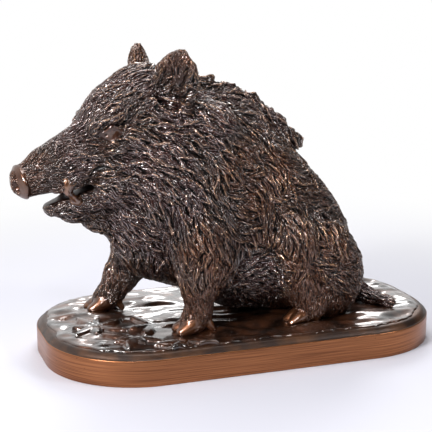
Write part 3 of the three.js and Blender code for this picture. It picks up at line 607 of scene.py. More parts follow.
BODY_COMBS = (
    Comb((-90, 20, 120), (0.1, 0.1, -1), 19, 2.6, 1.3, Lie.WAVY, 0.1),  # throat
    Comb((-62, 44, 150), (0.75, 0.2, -0.75), 24, 2.7, 1.5, Lie.WAVY, 0.1),  # neck
    Comb((-30, 42, 168), (0.8, 0.2, -0.6), 22, 2.7, 1.5, Lie.WAVY, 0.15),
    Comb((-66, 42, 118), (0.35, 0.1, -1), 24, 2.7, 1.5, Lie.WAVY, 0.15),  # ruff
    Comb((-40, 44, 110), (0.25, 0, -1), 15, 2.4, 1.2, Lie.SWEPT, 0.45),  # shoulder
    Comb((-80, 20, 75), (0.3, 0.2, -1), 16, 2.5, 1.2, Lie.SWEPT, 0.3),  # chest
    Comb((-10, 44, 140), (0.85, 0.1, -0.55), 14, 2.5, 1.3, Lie.SWEPT, 0.7),  # withers' side
    Comb((10, 46, 100), (0.75, 0, -0.65), 10, 2.4, 1.2, Lie.CURLED, 0.75),  # flank
    Comb((40, 40, 110), (0.7, 0.1, -0.7), 11, 2.5, 1.3, Lie.CURLED, 0.6),  # loin
    Comb((0, 42, 55), (0.9, 0, -0.4), 12, 2.4, 1.1, Lie.CURLED, 0.0),  # belly
    Comb((30, 58, 85), (0.55, 0, -0.8), 9, 2.2, 1.0, Lie.CURLED, 0.9),  # stifle
    Comb((60, 58, 70), (0.5, 0, -0.85), 9.5, 2.4, 1.1, Lie.CURLED, 0.7),  # thigh
    Comb((90, 20, 80), (0.1, 0, -1), 11, 2.5, 1.2, Lie.SWEPT, 0.2),  # buttock
    Comb((-30, 0, 196), (0.9, 0, -0.15), 16, 2.6, 1.8, Lie.WAVY, 0.1),  # crest
    Comb((20, 0, 178), (0.8, 0, -0.6), 15, 2.6, 1.8, Lie.WAVY, 0.2),
    Comb((70, 0, 125), (0.6, 0, -0.8), 12, 2.5, 1.3, Lie.CURLED, 0.2),  # croup
    Comb((-38, 42, 72), (0.1, 0, -1), 11, 2.3, 1.0, Lie.SWEPT, 0.8),  # upper foreleg
    Comb((-43, 43, 45), (0.05, 0, -1), 6, 1.8, 0.45, Lie.STRAIGHT, 1.0),  # lower foreleg
    Comb((-86, 31, 45), (-0.4, 0, -0.9), 6, 1.8, 0.45, Lie.STRAIGHT, 0.8),
    Comb((38, 52, 42), (0.1, 0, -1), 6, 1.9, 0.5, Lie.STRAIGHT, 1.0),  # hind foot
    Comb((104, 18, 30), (0.7, 0.7, -0.3), 10, 2.2, 0.7, Lie.SWEPT, 0.1),  # tail
)

HEAD_COMBS = (
    Comb((28, 0, 42), (-1, 0, 0.35), 13, 2.2, 1.0, Lie.WAVY, 0.1),  # forehead
    Comb((4, 0, 48), (-1, 0, 0.1), 13, 2.5, 1.2, Lie.SWEPT, 0.1),  # crown
    Comb((20, 20, 34), (-0.9, 0.35, 0.3), 11, 2.1, 1.0, Lie.WAVY, 0.4),  # temple
    Comb((64, 0, 18), (-1, 0, 0.2), 8, 1.9, 0.55, Lie.SWEPT, 0.1),  # bridge of the muzzle
    Comb((70, 14, 4), (-1, 0.15, -0.1), 10, 2.1, 0.9, Lie.WAVY, 0.35),  # side of the muzzle
    Comb((94, 8, 4), (-1, 0, 0), 5, 1.7, 0.3, Lie.STRAIGHT, 0.6),  # behind the disc
    Comb((46, 24, -2), (-0.9, 0.3, -0.4), 13, 2.3, 1.2, Lie.WAVY, 0.4),  # cheekbone
    Comb((38, 28, -18), (-0.75, 0.2, -0.75), 15, 2.5, 1.3, Lie.WAVY, 0.15),  # cheek
    Comb((14, 34, -20), (-0.6, 0.2, -0.8), 20, 2.6, 1.5, Lie.WAVY, 0.15),  # jowl
    Comb((12, 30, -46), (-0.45, 0.1, -0.9), 17, 2.6, 1.5, Lie.WAVY, 0.0),
    Comb((36, 18, -54), (-0.6, 0.1, -0.8), 15, 2.5, 1.4, Lie.WAVY, 0.0),  # beard
    Comb((74, 8, -26), (-0.9, 0.1, -0.4), 10, 2.2, 1.0, Lie.WAVY, 0.2),  # jaw
    Comb((92, 3, -20), (-1, 0, -0.2), 5, 1.7, 0.3, Lie.STRAIGHT, 0.6),  # chin
    Comb((-2, 28, 4), (-0.8, 0.1, -0.5), 19, 2.6, 1.5, Lie.WAVY, 0.3),  # behind the cheek
    Comb((-20, 34, 50), (-0.2, 0.3, 0.9), 8, 1.9, 0.5, Lie.SWEPT, 0.7),  # ear
    Comb((-24, 28, 24), (-0.8, 0.1, -0.2), 16, 2.6, 1.4, Lie.WAVY, 0.4),  # behind the ear
)


@dataclass(frozen=True)
class Rows:
    """Staggered rows of tufts, found by looking at the body along one axis of a frame."""

    look: int
    across: tuple[int, float, float]
    upward: tuple[int, float, float]
    facing: float
    size: float = 1.0


FLANK_ROWS = Rows(1, (0, -86, 88), (2, 57, 190), 0.35)
CHEST_ROWS = Rows(0, (1, -24, 24), (2, 66, 112), 0.6)
RUMP_ROWS = Rows(0, (1, -30, 30), (2, 48, 138), 0.6)
CHEEK_ROWS = Rows(1, (0, 2, 66), (2, -52, -4), 0.3, size=0.8)


@dataclass
class BoarForm:
    """The boar's masses, as they are in the solid model."""

    head_root: Vec3 = (-64, -2, 166)
    head_yaw: float = 7.0
    head_pitch: float = 20.0
    ear_root: Vec3 = (-9, 25, 18)
    ear_up: Vec3 = (-0.42, 0.46, 1)
    ear_opening: Vec3 = (0.8, 0.62, 0)
    feet: tuple[Vec3, ...] = ((-50, -43, 1), (-98, 31, 1), (31, -50, 0.82), (31, 50, 0.82))
    toe_apart: float = 4.6
    toe_height: float = 29.0
    toe_reach: Vec3 = (-8.0, 0.6, -4.5)
    toe_radii: tuple[float, float] = (6.0, 4.8)
    claw_from_toe: Vec3 = (12.0, 0.0, 1.0)
    claw_reach: Vec3 = (3.0, 1.5, -5.0)
    claw_radii: tuple[float, float] = (3.4, 2.4)
    hoof_join: float = 1.5
    hoof_rubbed: float = 0.8
    back_line: tuple[Vec3, ...] = (
        (-62, -1, 200),
        (-30, 0, 195),
        (8, 0, 182),
        (36, 0, 160),
        (45, 0, 151),
    )
    crest_tufts: int = 17
    crest_radii: tuple[float, float] = (8.5, 2.6)
    crest_root: float = 5.0
    crest_rise: float = 4.8
    crest_sweep: float = 12.0
    crest_stray: float = 3.0
    crest_narrow: float = 0.75
    crest_taper: float = 0.6
    crest_join: float = 2.5
    tuft_pitch: float = 15.0
    row_pitch: float = 0.8  # as a share of the tufts' pitch
    row_waver: float = 3.0
    tuft_length: float = 15.0
    tuft_radii: tuple[float, float] = (5.2, 2.0)
    tuft_rise: float = 1.7
    tuft_root: float = 4.2
    tuft_join: float = 1.2
    tuft_clear: float = 12.0
    flow_reach: float = 30.0
    look_from: float = 132.0
    clay: Clay = field(default_factory=Clay)

    def head(self) -> Frame:
        """Returns the head's frame."""
        yaw, pitch = math.radians(self.head_yaw), math.radians(self.head_pitch)
        forward = np.array(
            [-math.cos(pitch) * math.cos(yaw), -math.cos(pitch) * math.sin(yaw), -math.sin(pitch)]
        )
        left = np.array([math.sin(yaw), -math.cos(yaw), 0.0])
        axes = np.array([forward, left, np.cross(forward, left)])
        return Frame(np.array(self.head_root, float), axes)

    def ears(self) -> list[Frame]:
        """Returns the left and the right ear's frame."""
        head = self.head()
        found = []
        for side in (tuple, mirrored):
            up = unit(head.way(side(self.ear_up)))
            opening = head.way(side(self.ear_opening))
            opening = unit(opening - up * (opening @ up))
            axes = np.array([opening, np.cross(up, opening), up])
            found.append(Frame(head.point(side(self.ear_root)), axes))
        return found

    def lay_foot(self, x: float, y: float, size: float) -> None:
        """Lays a cloven foot: two toes side by side, and a dewclaw behind each."""
        for side in (1, -1):
            heel = np.array([x, y + self.toe_apart * side * size, self.toe_height])
            reach, aside, drop = self.toe_reach
            tip = heel + (reach * size, aside * side, drop)
            toe = LimbShape(heel, tip, tuple(radius * size for radius in self.toe_radii))
            self.clay.lay(toe, self.hoof_join, bare=self.hoof_rubbed)
            behind, level, above = self.claw_from_toe
            root = heel + (behind * size, level, above)
            reach, aside, drop = self.claw_reach
            tip = root + (reach, aside * side, drop)
            claw = LimbShape(root, tip, tuple(radius * size for radius in self.claw_radii))
            self.clay.lay(claw, self.hoof_join, bare=1.0)

    def lay_crest(self) -> None:
        """Lays the crest: tufts of uneven size along the line of the back."""
        line = np.array(self.back_line, float)
        for i in range(self.crest_tufts):
            point, back = curve_at(line, (i + 0.5) / self.crest_tufts)
            outward = np.array([-back[2], 0.0, back[0]])
            size = 1 + 0.3 * math.sin(2.6 * i + 1)
            size *= 1 - self.crest_taper * ((i + 0.5) / self.crest_tufts) ** 6
            tip = point + outward * self.crest_rise * size + back * self.crest_sweep * size
            tip[1] += self.crest_stray * math.sin(1.9 * i)
            root = point - outward * self.crest_root
            tuft = LimbShape(root, tip, self.crest_radii, BODY.axes[1], self.crest_narrow)
            self.clay.lay(tuft, self.crest_join)

    def broad_way(self, points: np.ndarray, outward: np.ndarray) -> np.ndarray:
        """Returns the way the broad tufts lie at points of the skin."""
        side = np.where(points[:, 1] < 0, -1.0, 1.0)
        ways = np.zeros_like(points)
        mirror = np.stack([side * side, side, side * side], 1)
        for at, way in BROAD_FLOW:
            gap = ((points - np.array(at) * mirror) ** 2).sum(1)
            share = np.exp(-gap / self.flow_reach**2) + 1e-6
            ways += np.array(way) * mirror * share[:, None]
        return unit(ways - outward * (ways * outward).sum(1, keepdims=True))

    def combs(self) -> list[tuple[np.ndarray, np.ndarray, Comb]]:
        """Returns every comb with its place and way in the world, on both sides."""
        found = []
        for at, combs in ((BODY, BODY_COMBS), (self.head(), HEAD_COMBS)):
            for comb in combs:
                for side in (tuple, mirrored):
                    found.append((at.point(side(comb.at)), at.way(side(comb.way)), comb))
        return found

    def lay_rows(self, at: Frame, rows: Rows, side: int) -> None:
        """Lays staggered rows of tufts on the skin that faces one side.

        Args:
            at: The frame that the rows are given in.
            rows: Where the rows run.
            side: 1 or -1 along the axis that is looked along.
        """
        across_axis, across_from, across_to = rows.across
        up_axis, up_from, up_to = rows.upward
        pitch = self.tuft_pitch * rows.size
        starts, sizes = [], []
        row_count = int((up_to - up_from) / (pitch * self.row_pitch)) + 1
        column_count = int((across_to - across_from) / pitch) + 1
        for row in range(row_count):
            for column in range(column_count):
                place = [0.0, 0.0, 0.0]
                place[rows.look] = side * self.look_from
                place[across_axis] = across_from + (column + (row % 2) * 0.5) * pitch
                place[up_axis] = up_from + row * pitch * self.row_pitch
                place[up_axis] += self.row_waver * math.sin(column * 2.4 + row)
                starts.append(at.point(tuple(place)))
                sizes.append(rows.size * (0.9 + 0.25 * math.sin(column * 5.1 + row * 2.7)))
        inward = -side * at.axes[rows.look]
        ways = np.tile(inward, (len(starts), 1))
        points, found = self.clay.walked(np.array(starts), ways, self.look_from)
        points, sizes = points[found], np.array(sizes)[found]
        outward = self.clay.outward(points)
        facing = outward @ inward < -rows.facing
        points, sizes, outward = points[facing], sizes[facing], outward[facing]
        ways = self.broad_way(points, outward)
        roots = points - outward * self.tuft_root
        above = points + ways * self.tuft_length * sizes[:, None] + outward * self.tuft_clear
        under, met = self.clay.walked(above, -outward, 2 * self.tuft_clear)
        tips = under + outward * (self.tuft_rise - self.tuft_radii[1])
        for root, tip, size, good in zip(roots, tips, sizes, met):
            if good:
                radii = (self.tuft_radii[0] * size, self.tuft_radii[1])
                self.clay.lay(LimbShape(root, tip, radii), self.tuft_join)

    def sculpt(self) -> Clay:
        """Lays the whole boar and returns its clay."""
        head = self.head()
        for masses in (TRUNK, HAUNCH, LEFT_FORELEG, RIGHT_FORELEG):
            self.clay.lay_all(BODY, masses)
        for side in (1, -1):
            self.lay_rows(BODY, FLANK_ROWS, side)
        self.lay_rows(BODY, CHEST_ROWS, -1)
        self.lay_rows(BODY, RUMP_ROWS, 1)
        for x, y, size in self.feet:
            self.lay_foot(x, y, size)
        self.clay.lay_all(BODY, TAIL)
        self.clay.lay_all(head, SKULL)
        for side in (1, -1):
            self.lay_rows(head, CHEEK_ROWS, side)
        for ear in self.ears():
            self.clay.lay_all(ear, EAR)
        self.clay.lay_all(head, MOUTH)
        self.lay_crest()
        return self.clay


def curve_at(line: np.ndarray, share: float) -> tuple[np.ndarray, np.ndarray]:
    """Follows a smooth curve through points, with tangents that allow for uneven spacing.

    Args:
        line: The points.
        share: How far along, from 0 to 1.

    Returns:
        The point there and the unit direction of the curve.
    """
    ends = [2 * line[0] - line[1], *line, 2 * line[-1] - line[-2]]
    spans = len(line) - 1
    span = min(int(share * spans), spans - 1)
    t = share * spans - span
    a, b, c, d = ends[span : span + 4]
    gap = [np.linalg.norm(q - p) ** 0.5 for p, q in ((a, b), (b, c), (c, d))]
    leave = (b - a) / gap[0] - (c - a) / (gap[0] + gap[1]) + (c - b) / gap[1]
    arrive = (c - b) / gap[1] - (d - b) / (gap[1] + gap[2]) + (d - c) / gap[2]
    leave, arrive = leave * gap[1], arrive * gap[1]
    bend = 3 * (c - b) - 2 * leave - arrive
    twist = leave + arrive - 2 * (c - b)
    point = b + leave * t + bend * t**2 + twist * t**3
    return point, unit(leave + 2 * bend * t + 3 * twist * t**2)


# ---- coat


@dataclass(frozen=True)
class Locks:
    """Locks of hair on the skin, one row each."""

    middle: np.ndarray
    outward: np.ndarray
    way: np.ndarray
    length: np.ndarray
    width: np.ndarray
    height: np.ndarray
    sweep: np.ndarray
    wave: np.ndarray
    phase: np.ndarray
    lift: np.ndarray

    def across(self) -> np.ndarray:
        """Returns the direction across each lock, along the skin."""
        return np.cross(self.outward, self.way)


@dataclass(frozen=True)
class Combed:
    """What the coat does at each vertex of the skin.

    `rise` moves the vertex along its outward direction. `strand` holds how many strands across
    its lock the vertex lies, how many millimetres along it, and a number of the lock's own. `way`
    is the way that the lock runs there.
    """

    rise: np.ndarray
    strand: np.ndarray
    warmth: np.ndarray
    way: np.ndarray

    def over(self, lower: "Combed") -> "Combed":
        """Returns this coat laid over a lower one, which shows wherever this one has no lock."""
        mine = self.strand[:, 2:] > 0
        strand = np.where(mine, self.strand, lower.strand)
        return Combed(self.rise + lower.rise, strand, self.warmth, self.way)


@dataclass
class Coat:
    """The combed coat: overlapping locks, each rounded across and ending in a point.

    Lengths are in millimetres and angles in degrees. `flow` is the way that the hair runs at each
    vertex, where another coat has set it already. `longer`, `wider`, `higher` and `bent` multiply
    what the combs say. A lock is as wide as a whole number of strands, parted by grooves.
    `spacing` is how far apart locks are planted, as a share of the middle of their length and
    width, `stray` and `clump` turn each lock and each neighbourhood of them, and `sunk` is the
    share of a lock's height by which the skin between locks lies lower. A lock widens over the
    first share of its length, `rooted`, and narrows over the last, `tapered`.
    """

    combs: list[tuple[np.ndarray, np.ndarray, Comb]]
    seed: int = SEED
    flow: np.ndarray | None = None
    longer: float = 1.0
    wider: float = 1.0
    higher: float = 1.0
    bent: float = 1.0
    strand_width: float = 1.9
    groove: float = 0.0
    reach: float = 15.0
    candidates: int = 150_000
    spacing: float = 0.48
    stray: float = 6.0
    clump: float = 13.0
    clump_size: float = 16.0
    wave_length: float = 11.0
    wave_height: float = 0.75
    sunk: float = 0.7
    handed_size: float = 26.0
    deepest: float = 5.0
    least_facing: float = 0.35
    root_height: float = 0.35
    rooted: float = 0.3
    tapered: float = 0.5
    blunt: float = 0.7
    roundness: float = 0.65
    ridge_level: float = 0.6
    waver: float = 0.1
    most_lift: float = 0.3
    bald: float = 0.6
    uneven: tuple[float, float] = (0.75, 1.2)
    uneven_sweep: tuple[float, float] = (0.5, 1.3)

    def measures(self) -> np.ndarray:
        """Returns a row for each comb: length, width, height, sweep, wave and warmth."""
        rows = [(c.length, c.width, c.height, *c.lie.value, c.warmth) for _, _, c in self.combs]
        return np.array(rows) * (self.longer, self.wider, self.higher, self.bent, self.bent, 1)

    def shares(self, points: np.ndarray) -> np.ndarray:
        """Returns each comb's share at each point; a point's shares add up to one."""
        places = np.array([at for at, _, _ in self.combs])
        gap = ((points[:, None, :] - places[None]) ** 2).sum(-1)
        shares = np.exp(-(gap - gap.min(1, keepdims=True)) / self.reach**2)
        return shares / shares.sum(1, keepdims=True)

    def planted(self, points: np.ndarray, outward: np.ndarray, bare: np.ndarray) -> Locks:
        """Plants locks over the skin, evenly but not in rows.

        Args:
            points: The skin's vertices.
            outward: The direction out of the skin at each.
            bare: How bare each vertex is, from 0 to 1.

        Returns:
            The locks.
        """
        rng = np.random.default_rng(self.seed)
        tried = rng.permutation(np.flatnonzero(bare < self.bald))[: self.candidates]
        shares = self.shares(points[tried])
        measures = shares @ self.measures()
        apart = self.spacing * np.sqrt(measures[:, 0] * measures[:, 1])
        kept = self.spread_out(points[tried], apart)
        chosen, shares, measures = tried[kept], shares[kept], measures[kept]
        middle, normal = points[chosen], outward[chosen]
        ways = shares @ np.array([way for _, way, _ in self.combs])
        if self.flow is not None:
            ways = self.flow[chosen]
        ways = unit(ways - normal * (ways * normal).sum(1, keepdims=True))
        drift = np.array([noise.noise(Vector(p / self.clump_size)) for p in middle])
        turn = np.radians(self.clump * drift * 2 + self.stray * rng.normal(size=len(chosen)))
        side = np.cross(normal, ways)
        ways = ways * np.cos(turn)[:, None] + side * np.sin(turn)[:, None]
        handed = np.array([noise.noise(Vector(p / self.handed_size + 7.0)) for p in middle])
        handed = np.where(handed + 0.12 * rng.normal(size=len(chosen)) > 0, 1.0, -1.0)
        vary = rng.uniform(*self.uneven, (len(chosen), 3))
        return Locks(
            middle=middle,
            outward=normal,
            way=ways,
            length=measures[:, 0] * vary[:, 0],
            width=measures[:, 1] * vary[:, 1],
            height=measures[:, 2] * vary[:, 2],
            sweep=measures[:, 3] * handed * rng.uniform(*self.uneven_sweep, len(chosen)),
            wave=measures[:, 4],
            phase=2 * np.pi * (middle * ways).sum(1) / self.wave_length
            + 5 * drift
            + 0.4 * rng.normal(size=len(chosen)),
            lift=rng.uniform(0.0, self.most_lift, len(chosen)),
        )

    @staticmethod
    def spread_out(points: np.ndarray, apart: np.ndarray) -> np.ndarray:
        """Picks points so that no two are closer than they may be.

        Args:
            points: The points, the first ones preferred.
            apart: How far each has to be from those picked before it.

        Returns:
            The picked points' numbers.
        """
        size = float(apart.max())
        taken: dict[tuple[int, int, int], list[Vec3]] = {}
        kept = []
        cells = np.floor(points / size).astype(int).tolist()
        rows = zip(cells, points.tolist(), (apart**2).tolist())
        for index, ((a, b, c), (x, y, z), reach) in enumerate(rows):
            near = (place for i, j, k in AROUND for place in taken.get((a + i, b + j, c + k), ()))
            if all((x - u) ** 2 + (y - v) ** 2 + (z - w) ** 2 >= reach for u, v, w in near):
                taken.setdefault((a, b, c), []).append((x, y, z))
                kept.append(index)
        return np.array(kept)

    def laid(self, points: np.ndarray, outward: np.ndarray, bare: np.ndarray) -> Combed:
        """Lays the coat on the skin.

        Args:
            points: The skin's vertices.
            outward: The direction out of the skin at each.
            bare: How bare each vertex is, from 0 to 1.

        Returns:
            What the coat does at each vertex.
        """
        locks = self.planted(points, outward, bare)
        across = locks.across()
        log.info("coat: %d locks", len(locks.length))
        found = []
        for vertex, lock in self.pairs(points, locks):
            offset = points[vertex] - locks.middle[lock]
            length, width = locks.length[lock], locks.width[lock]
            along = (offset * locks.way[lock]).sum(1)
            u = along / length + 0.5
            depth = np.abs((offset * locks.outward[lock]).sum(1))
            facing = (outward[vertex] * locks.outward[lock]).sum(1)
            near = (u > 0) & (u < 1) & (depth < self.deepest) & (facing > self.least_facing)
            vertex, lock, u, along = vertex[near], lock[near], u[near], along[near]
            offset, length, width = offset[near], length[near], width[near]
            bend = locks.sweep[lock] * length * self.arched(u)
            turn = self.turning * along + locks.phase[lock]
            snake = locks.wave[lock] * self.wave_height * np.sin(turn)
            aside = (offset * across[lock]).sum(1) - bend - snake
            half = 0.5 * width * np.sqrt(np.clip((u + 0.04) / self.rooted, 0, 1))
            half *= np.clip((1 - u) / self.tapered, 0, 1) ** self.blunt
            share = aside / np.maximum(half, 1e-3)
            on = np.abs(share) < 1
            vertex, lock, u, along = vertex[on], lock[on], u[on], along[on]
            share, turn = share[on], turn[on]
            body = self.root_height + (1 - self.root_height) * smooth(0, 0.75, u)
            body *= (1 - share**2) ** self.roundness
            rise = locks.height[lock] * (body + locks.lift[lock] * smooth(0, 0.2, u))
            strands = np.maximum(np.round(width[on] / self.strand_width), 1)
            waver = self.waver * np.sin(0.7 * along + 3 * locks.phase[lock])
            across_by = 0.5 * (share + waver + 1) * strands
            ridge = np.abs(np.sin(np.pi * across_by))
            rise += self.groove * (ridge - self.ridge_level) * smooth(0, 0.12, u)
            slope = 2 * locks.sweep[lock] * u
            slope += locks.wave[lock] * self.wave_height * np.cos(turn) * self.turning
            found.append((rise, vertex, lock, along, across_by, slope))
        parts = [np.concatenate(part) for part in zip(*found)]
        rise, vertex, lock, along, across_by, slope = parts
        order = np.lexsort((rise, vertex))
        last = np.append(np.flatnonzero(np.diff(vertex[order])), len(order) - 1)
        top = order[last]
        shares = np.vstack([self.shares(part) for part in np.array_split(points, 16)])
        measures = shares @ self.measures()
        height = np.zeros(len(points))
        height[vertex[top]] = rise[top]
        height -= self.sunk * measures[:, 2]
        strand = np.zeros((len(points), 3))
        number = np.random.default_rng(self.seed + 1).uniform(0, 1, len(locks.length))
        strand[vertex[top]] = np.stack([across_by[top], along[top], number[lock[top]]], 1)
        way = shares @ np.array([way for _, way, _ in self.combs])
        way[vertex[top]] = locks.way[lock[top]] + across[lock[top]] * slope[top, None]
        return Combed(height * (1 - bare), strand, measures[:, 5], way)

    @property
    def turning(self) -> float:
        """The waves' turn in radians for each millimetre along a lock."""
        return 2 * math.pi / self.wave_length

    @staticmethod
    def arched(u: np.ndarray) -> np.ndarray:
        """Returns how far a lock has swept aside at shares of its length, as a share of it."""
        return u * u - 0.3

    def pairs(self, points: np.ndarray, locks: Locks) -> Iterator[tuple[np.ndarray, np.ndarray]]:
        """Yields vertices with the locks near them, found in cells along each lock.

        Args:
            points: The skin's vertices.
            locks: The locks.

        Yields:
            Vertex numbers and lock numbers, of the same length.
        """
        size = 0.5 * float(locks.width.max()) + self.wave_height + 0.8
        low = points.min(0) - 3 * size
        counts = np.ceil((points.max(0) - low) / size).astype(int) + 4

        def keys(cells: np.ndarray) -> np.ndarray:
            """Returns a number for each cell."""
            return (cells[..., 0] * counts[1] + cells[..., 1]) * counts[2] + cells[..., 2]

        key = keys(np.floor((points - low) / size).astype(int))
        order = np.argsort(key, kind="stable")
        key = key[order]
        u = np.linspace(0, 1, int(locks.length.max() / size) + 2)[None, :, None]
        length, sweep = locks.length[:, None, None], locks.sweep[:, None, None]
        line = locks.middle[:, None, :] + locks.way[:, None, :] * length * (u - 0.5)
        line += locks.across()[:, None, :] * sweep * length * self.arched(u)
        home = np.floor((line - low) / size).astype(int)
        near = keys(np.clip(home[:, :, None, :] + np.array(AROUND), 0, counts - 1))
        cells = int(counts.prod())
        wanted = np.arange(len(near))[:, None, None] * cells + near
        lock, cell = np.divmod(np.unique(wanted), cells)
        first = np.searchsorted(key, cell, "left")
        count = np.searchsorted(key, cell, "right") - first
        for part in np.array_split(np.flatnonzero(count), 12):
            total = count[part]
            start = np.repeat(first[part] - np.append(0, np.cumsum(total)[:-1]), total)
            yield order[start + np.arange(len(start))], np.repeat(lock[part], total)


def smooth(low: float, high: float, value: np.ndarray) -> np.ndarray:
    """Returns a smooth step from 0 at `low` to 1 at `high`."""
    t = np.clip((value - low) / (high - low), 0, 1)
    return t * t * (3 - 2 * t)


# ---- meshes


@dataclass
class Edges:
    """The edges of a quad mesh, for spreading values between neighbours."""

    first: np.ndarray
    second: np.ndarray
    count: np.ndarray

    @classmethod
    def of(cls, quads: np.ndarray, size: int) -> "Edges":
        """Returns the edges of a closed quad mesh with a number of vertices."""
        pairs = np.vstack([quads[:, [i, (i + 1) % 4]] for i in range(4)])
        pairs = pairs[pairs[:, 0] < pairs[:, 1]]
        count = np.bincount(pairs.ravel(), minlength=size)
        return cls(pairs[:, 0], pairs[:, 1], np.maximum(count, 1))

    def spread(self, values: np.ndarray, rounds: int) -> np.ndarray:
        """Returns values evened out between neighbours a number of times."""
        size = len(self.count)
        for _ in range(rounds):
            total = np.bincount(self.first, values[self.second], size)
            total += np.bincount(self.second, values[self.first], size)
            values = 0.5 * values + 0.5 * total / self.count
        return values

    def spread_points(self, points: np.ndarray, rounds: int) -> np.ndarray:
        """Returns points evened out between neighbours a number of times."""
        return np.stack([self.spread(points[:, axis], rounds) for axis in range(3)], 1)

    def parts(self) -> np.ndarray:
        """Returns a number for each vertex that is the same all over one connected part."""
        label = np.arange(len(self.count))
        while True:
            least = label.copy()
            np.minimum.at(least, self.first, label[self.second])
            np.minimum.at(least, self.second, label[self.first])
            least = least[least]
            if (least == label).all():
                return label
            label = least


def largest_part(points: np.ndarray, quads: np.ndarray) -> tuple[np.ndarray, np.ndarray]:
    """Returns the largest connected part of a mesh, as points and quads."""
    label = Edges.of(quads, len(points)).parts()
    kept = label == np.bincount(label).argmax()
    number = np.cumsum(kept) - 1
    return points[kept], number[quads[kept[quads[:, 0]]]]


def refined(points: np.ndarray, quads: np.ndarray) -> tuple[np.ndarray, np.ndarray]:
    """Splits each quad of a closed mesh in four and rounds the mesh.

    Args:
        points: The vertices.
        quads: The quads.

    Returns:
        The new vertices and quads.
    """
    size, faces = len(points), len(quads)
    centre = points[quads].mean(1)
    start, end = quads, np.roll(quads, -1, axis=1)
    key = np.minimum(start, end).astype(np.int64) * size + np.maximum(start, end)
    key, edge = np.unique(key.ravel(), return_inverse=True)
    edge = edge.reshape(quads.shape)
    ends = np.stack(np.divmod(key, size), 1)
    middle = points[ends].mean(1)
    sides = np.bincount(edge.ravel(), minlength=len(key))[:, None]
    edge_point = middle.copy()
    corner = points.copy()
    valence = np.maximum(np.bincount(quads.ravel(), minlength=size), 1)
    for axis in range(3):
        spread = np.repeat(centre[:, axis], 4)
        beside = np.bincount(edge.ravel(), spread, len(key)) / sides[:, 0]
        edge_point[:, axis] = 0.5 * (middle[:, axis] + beside)
        around = np.bincount(quads.ravel(), spread, size) / valence
        along = np.bincount(quads.ravel(), middle[edge.ravel(), axis], size) / valence
        corner[:, axis] = (around + 2 * along + (valence - 3) * points[:, axis]) / valence
    at_edge = size + edge
    at_face = size + len(key) + np.arange(faces)
    before = np.roll(at_edge, 1, axis=1)
    split = [np.stack([quads[:, i], at_edge[:, i], at_face, before[:, i]], 1) for i in range(4)]
    return np.vstack([corner, edge_point, centre]), np.vstack(split)


def mesh_object(name: str, points: np.ndarray, faces: np.ndarray) -> Object:
    """Makes a smooth-shaded mesh object.

    Args:
        name: The object's name.
        points: Its vertices in millimetres.
        faces: Its faces, all with as many corners.

    Returns:
        The object, linked to the scene.
    """
    mesh = bpy.data.meshes.new(name)
    corners = faces.shape[1]
    mesh.vertices.add(len(points))
    mesh.vertices.foreach_set("co", (points * MM).astype(np.float32).ravel())
    mesh.loops.add(faces.size)
    mesh.loops.foreach_set("vertex_index", faces.astype(np.int32).ravel())
    mesh.polygons.add(len(faces))
    mesh.polygons.foreach_set("loop_start", np.arange(0, faces.size, corners, dtype=np.int32))
    mesh.update(calc_edges=True)
    mesh.validate()
    mesh.polygons.foreach_set("use_smooth", np.ones(len(mesh.polygons), bool))
    thing = bpy.data.objects.new(name, mesh)
    bpy.context.scene.collection.objects.link(thing)
    return thing


def store(mesh: Mesh, name: str, values: np.ndarray) -> None:
    """Stores a number or a vector for each vertex under a name."""
    kind, part = ("FLOAT_VECTOR", "vector") if values.ndim == 2 else ("FLOAT", "value")
    layer = mesh.attributes.new(name, kind, "POINT")
    layer.data.foreach_set(part, values.astype(np.float32).ravel())


def thinned(thing: Object, triangles: int) -> Object:
    """Thins an object's mesh to a number of triangles, where its shape needs them least."""
    now = sum(len(face.vertices) - 2 for face in thing.data.polygons)
    if now <= triangles:
        return thing
    modifier = thing.modifiers.new("thin", "DECIMATE")
    modifier.ratio = triangles / now
    graph = bpy.context.evaluated_depsgraph_get()
    mesh = bpy.data.meshes.new_from_object(thing.evaluated_get(graph))
    thing.modifiers.clear()
    old = thing.data
    thing.data = mesh
    bpy.data.meshes.remove(old)
    return thing


def nearest(points: np.ndarray, mesh: Mesh) -> np.ndarray:
    """Returns for each vertex of a mesh the number of the nearest point."""
    tree = kdtree.KDTree(len(points))
    for number, point in enumerate(points.tolist()):
        tree.insert(point, number)
    tree.balance()
    return np.array([tree.find(vertex.co / MM)[1] for vertex in mesh.vertices])


# ---- finishes


def linear(hex_colour: str, alpha: float = 1.0) -> tuple[float, float, float, float]:
    """Returns an sRGB hex colour as linear light, with its alpha."""
    parts = [int(hex_colour[i : i + 2], 16) / 255 for i in (1, 3, 5)]
    light = [p / 12.92 if p <= 0.04045 else ((p + 0.055) / 1.055) ** 2.4 for p in parts]
    return (*light, alpha)


# A Map Range node's sockets for the range that it takes and the range that it gives.
LOW, HIGH, TO_LOW, TO_HIGH = 1, 2, 3, 4
# A Mix node's sockets for its two colours, and its output for the mixed one.
BASE, OVER, MIXED = 6, 7, 2


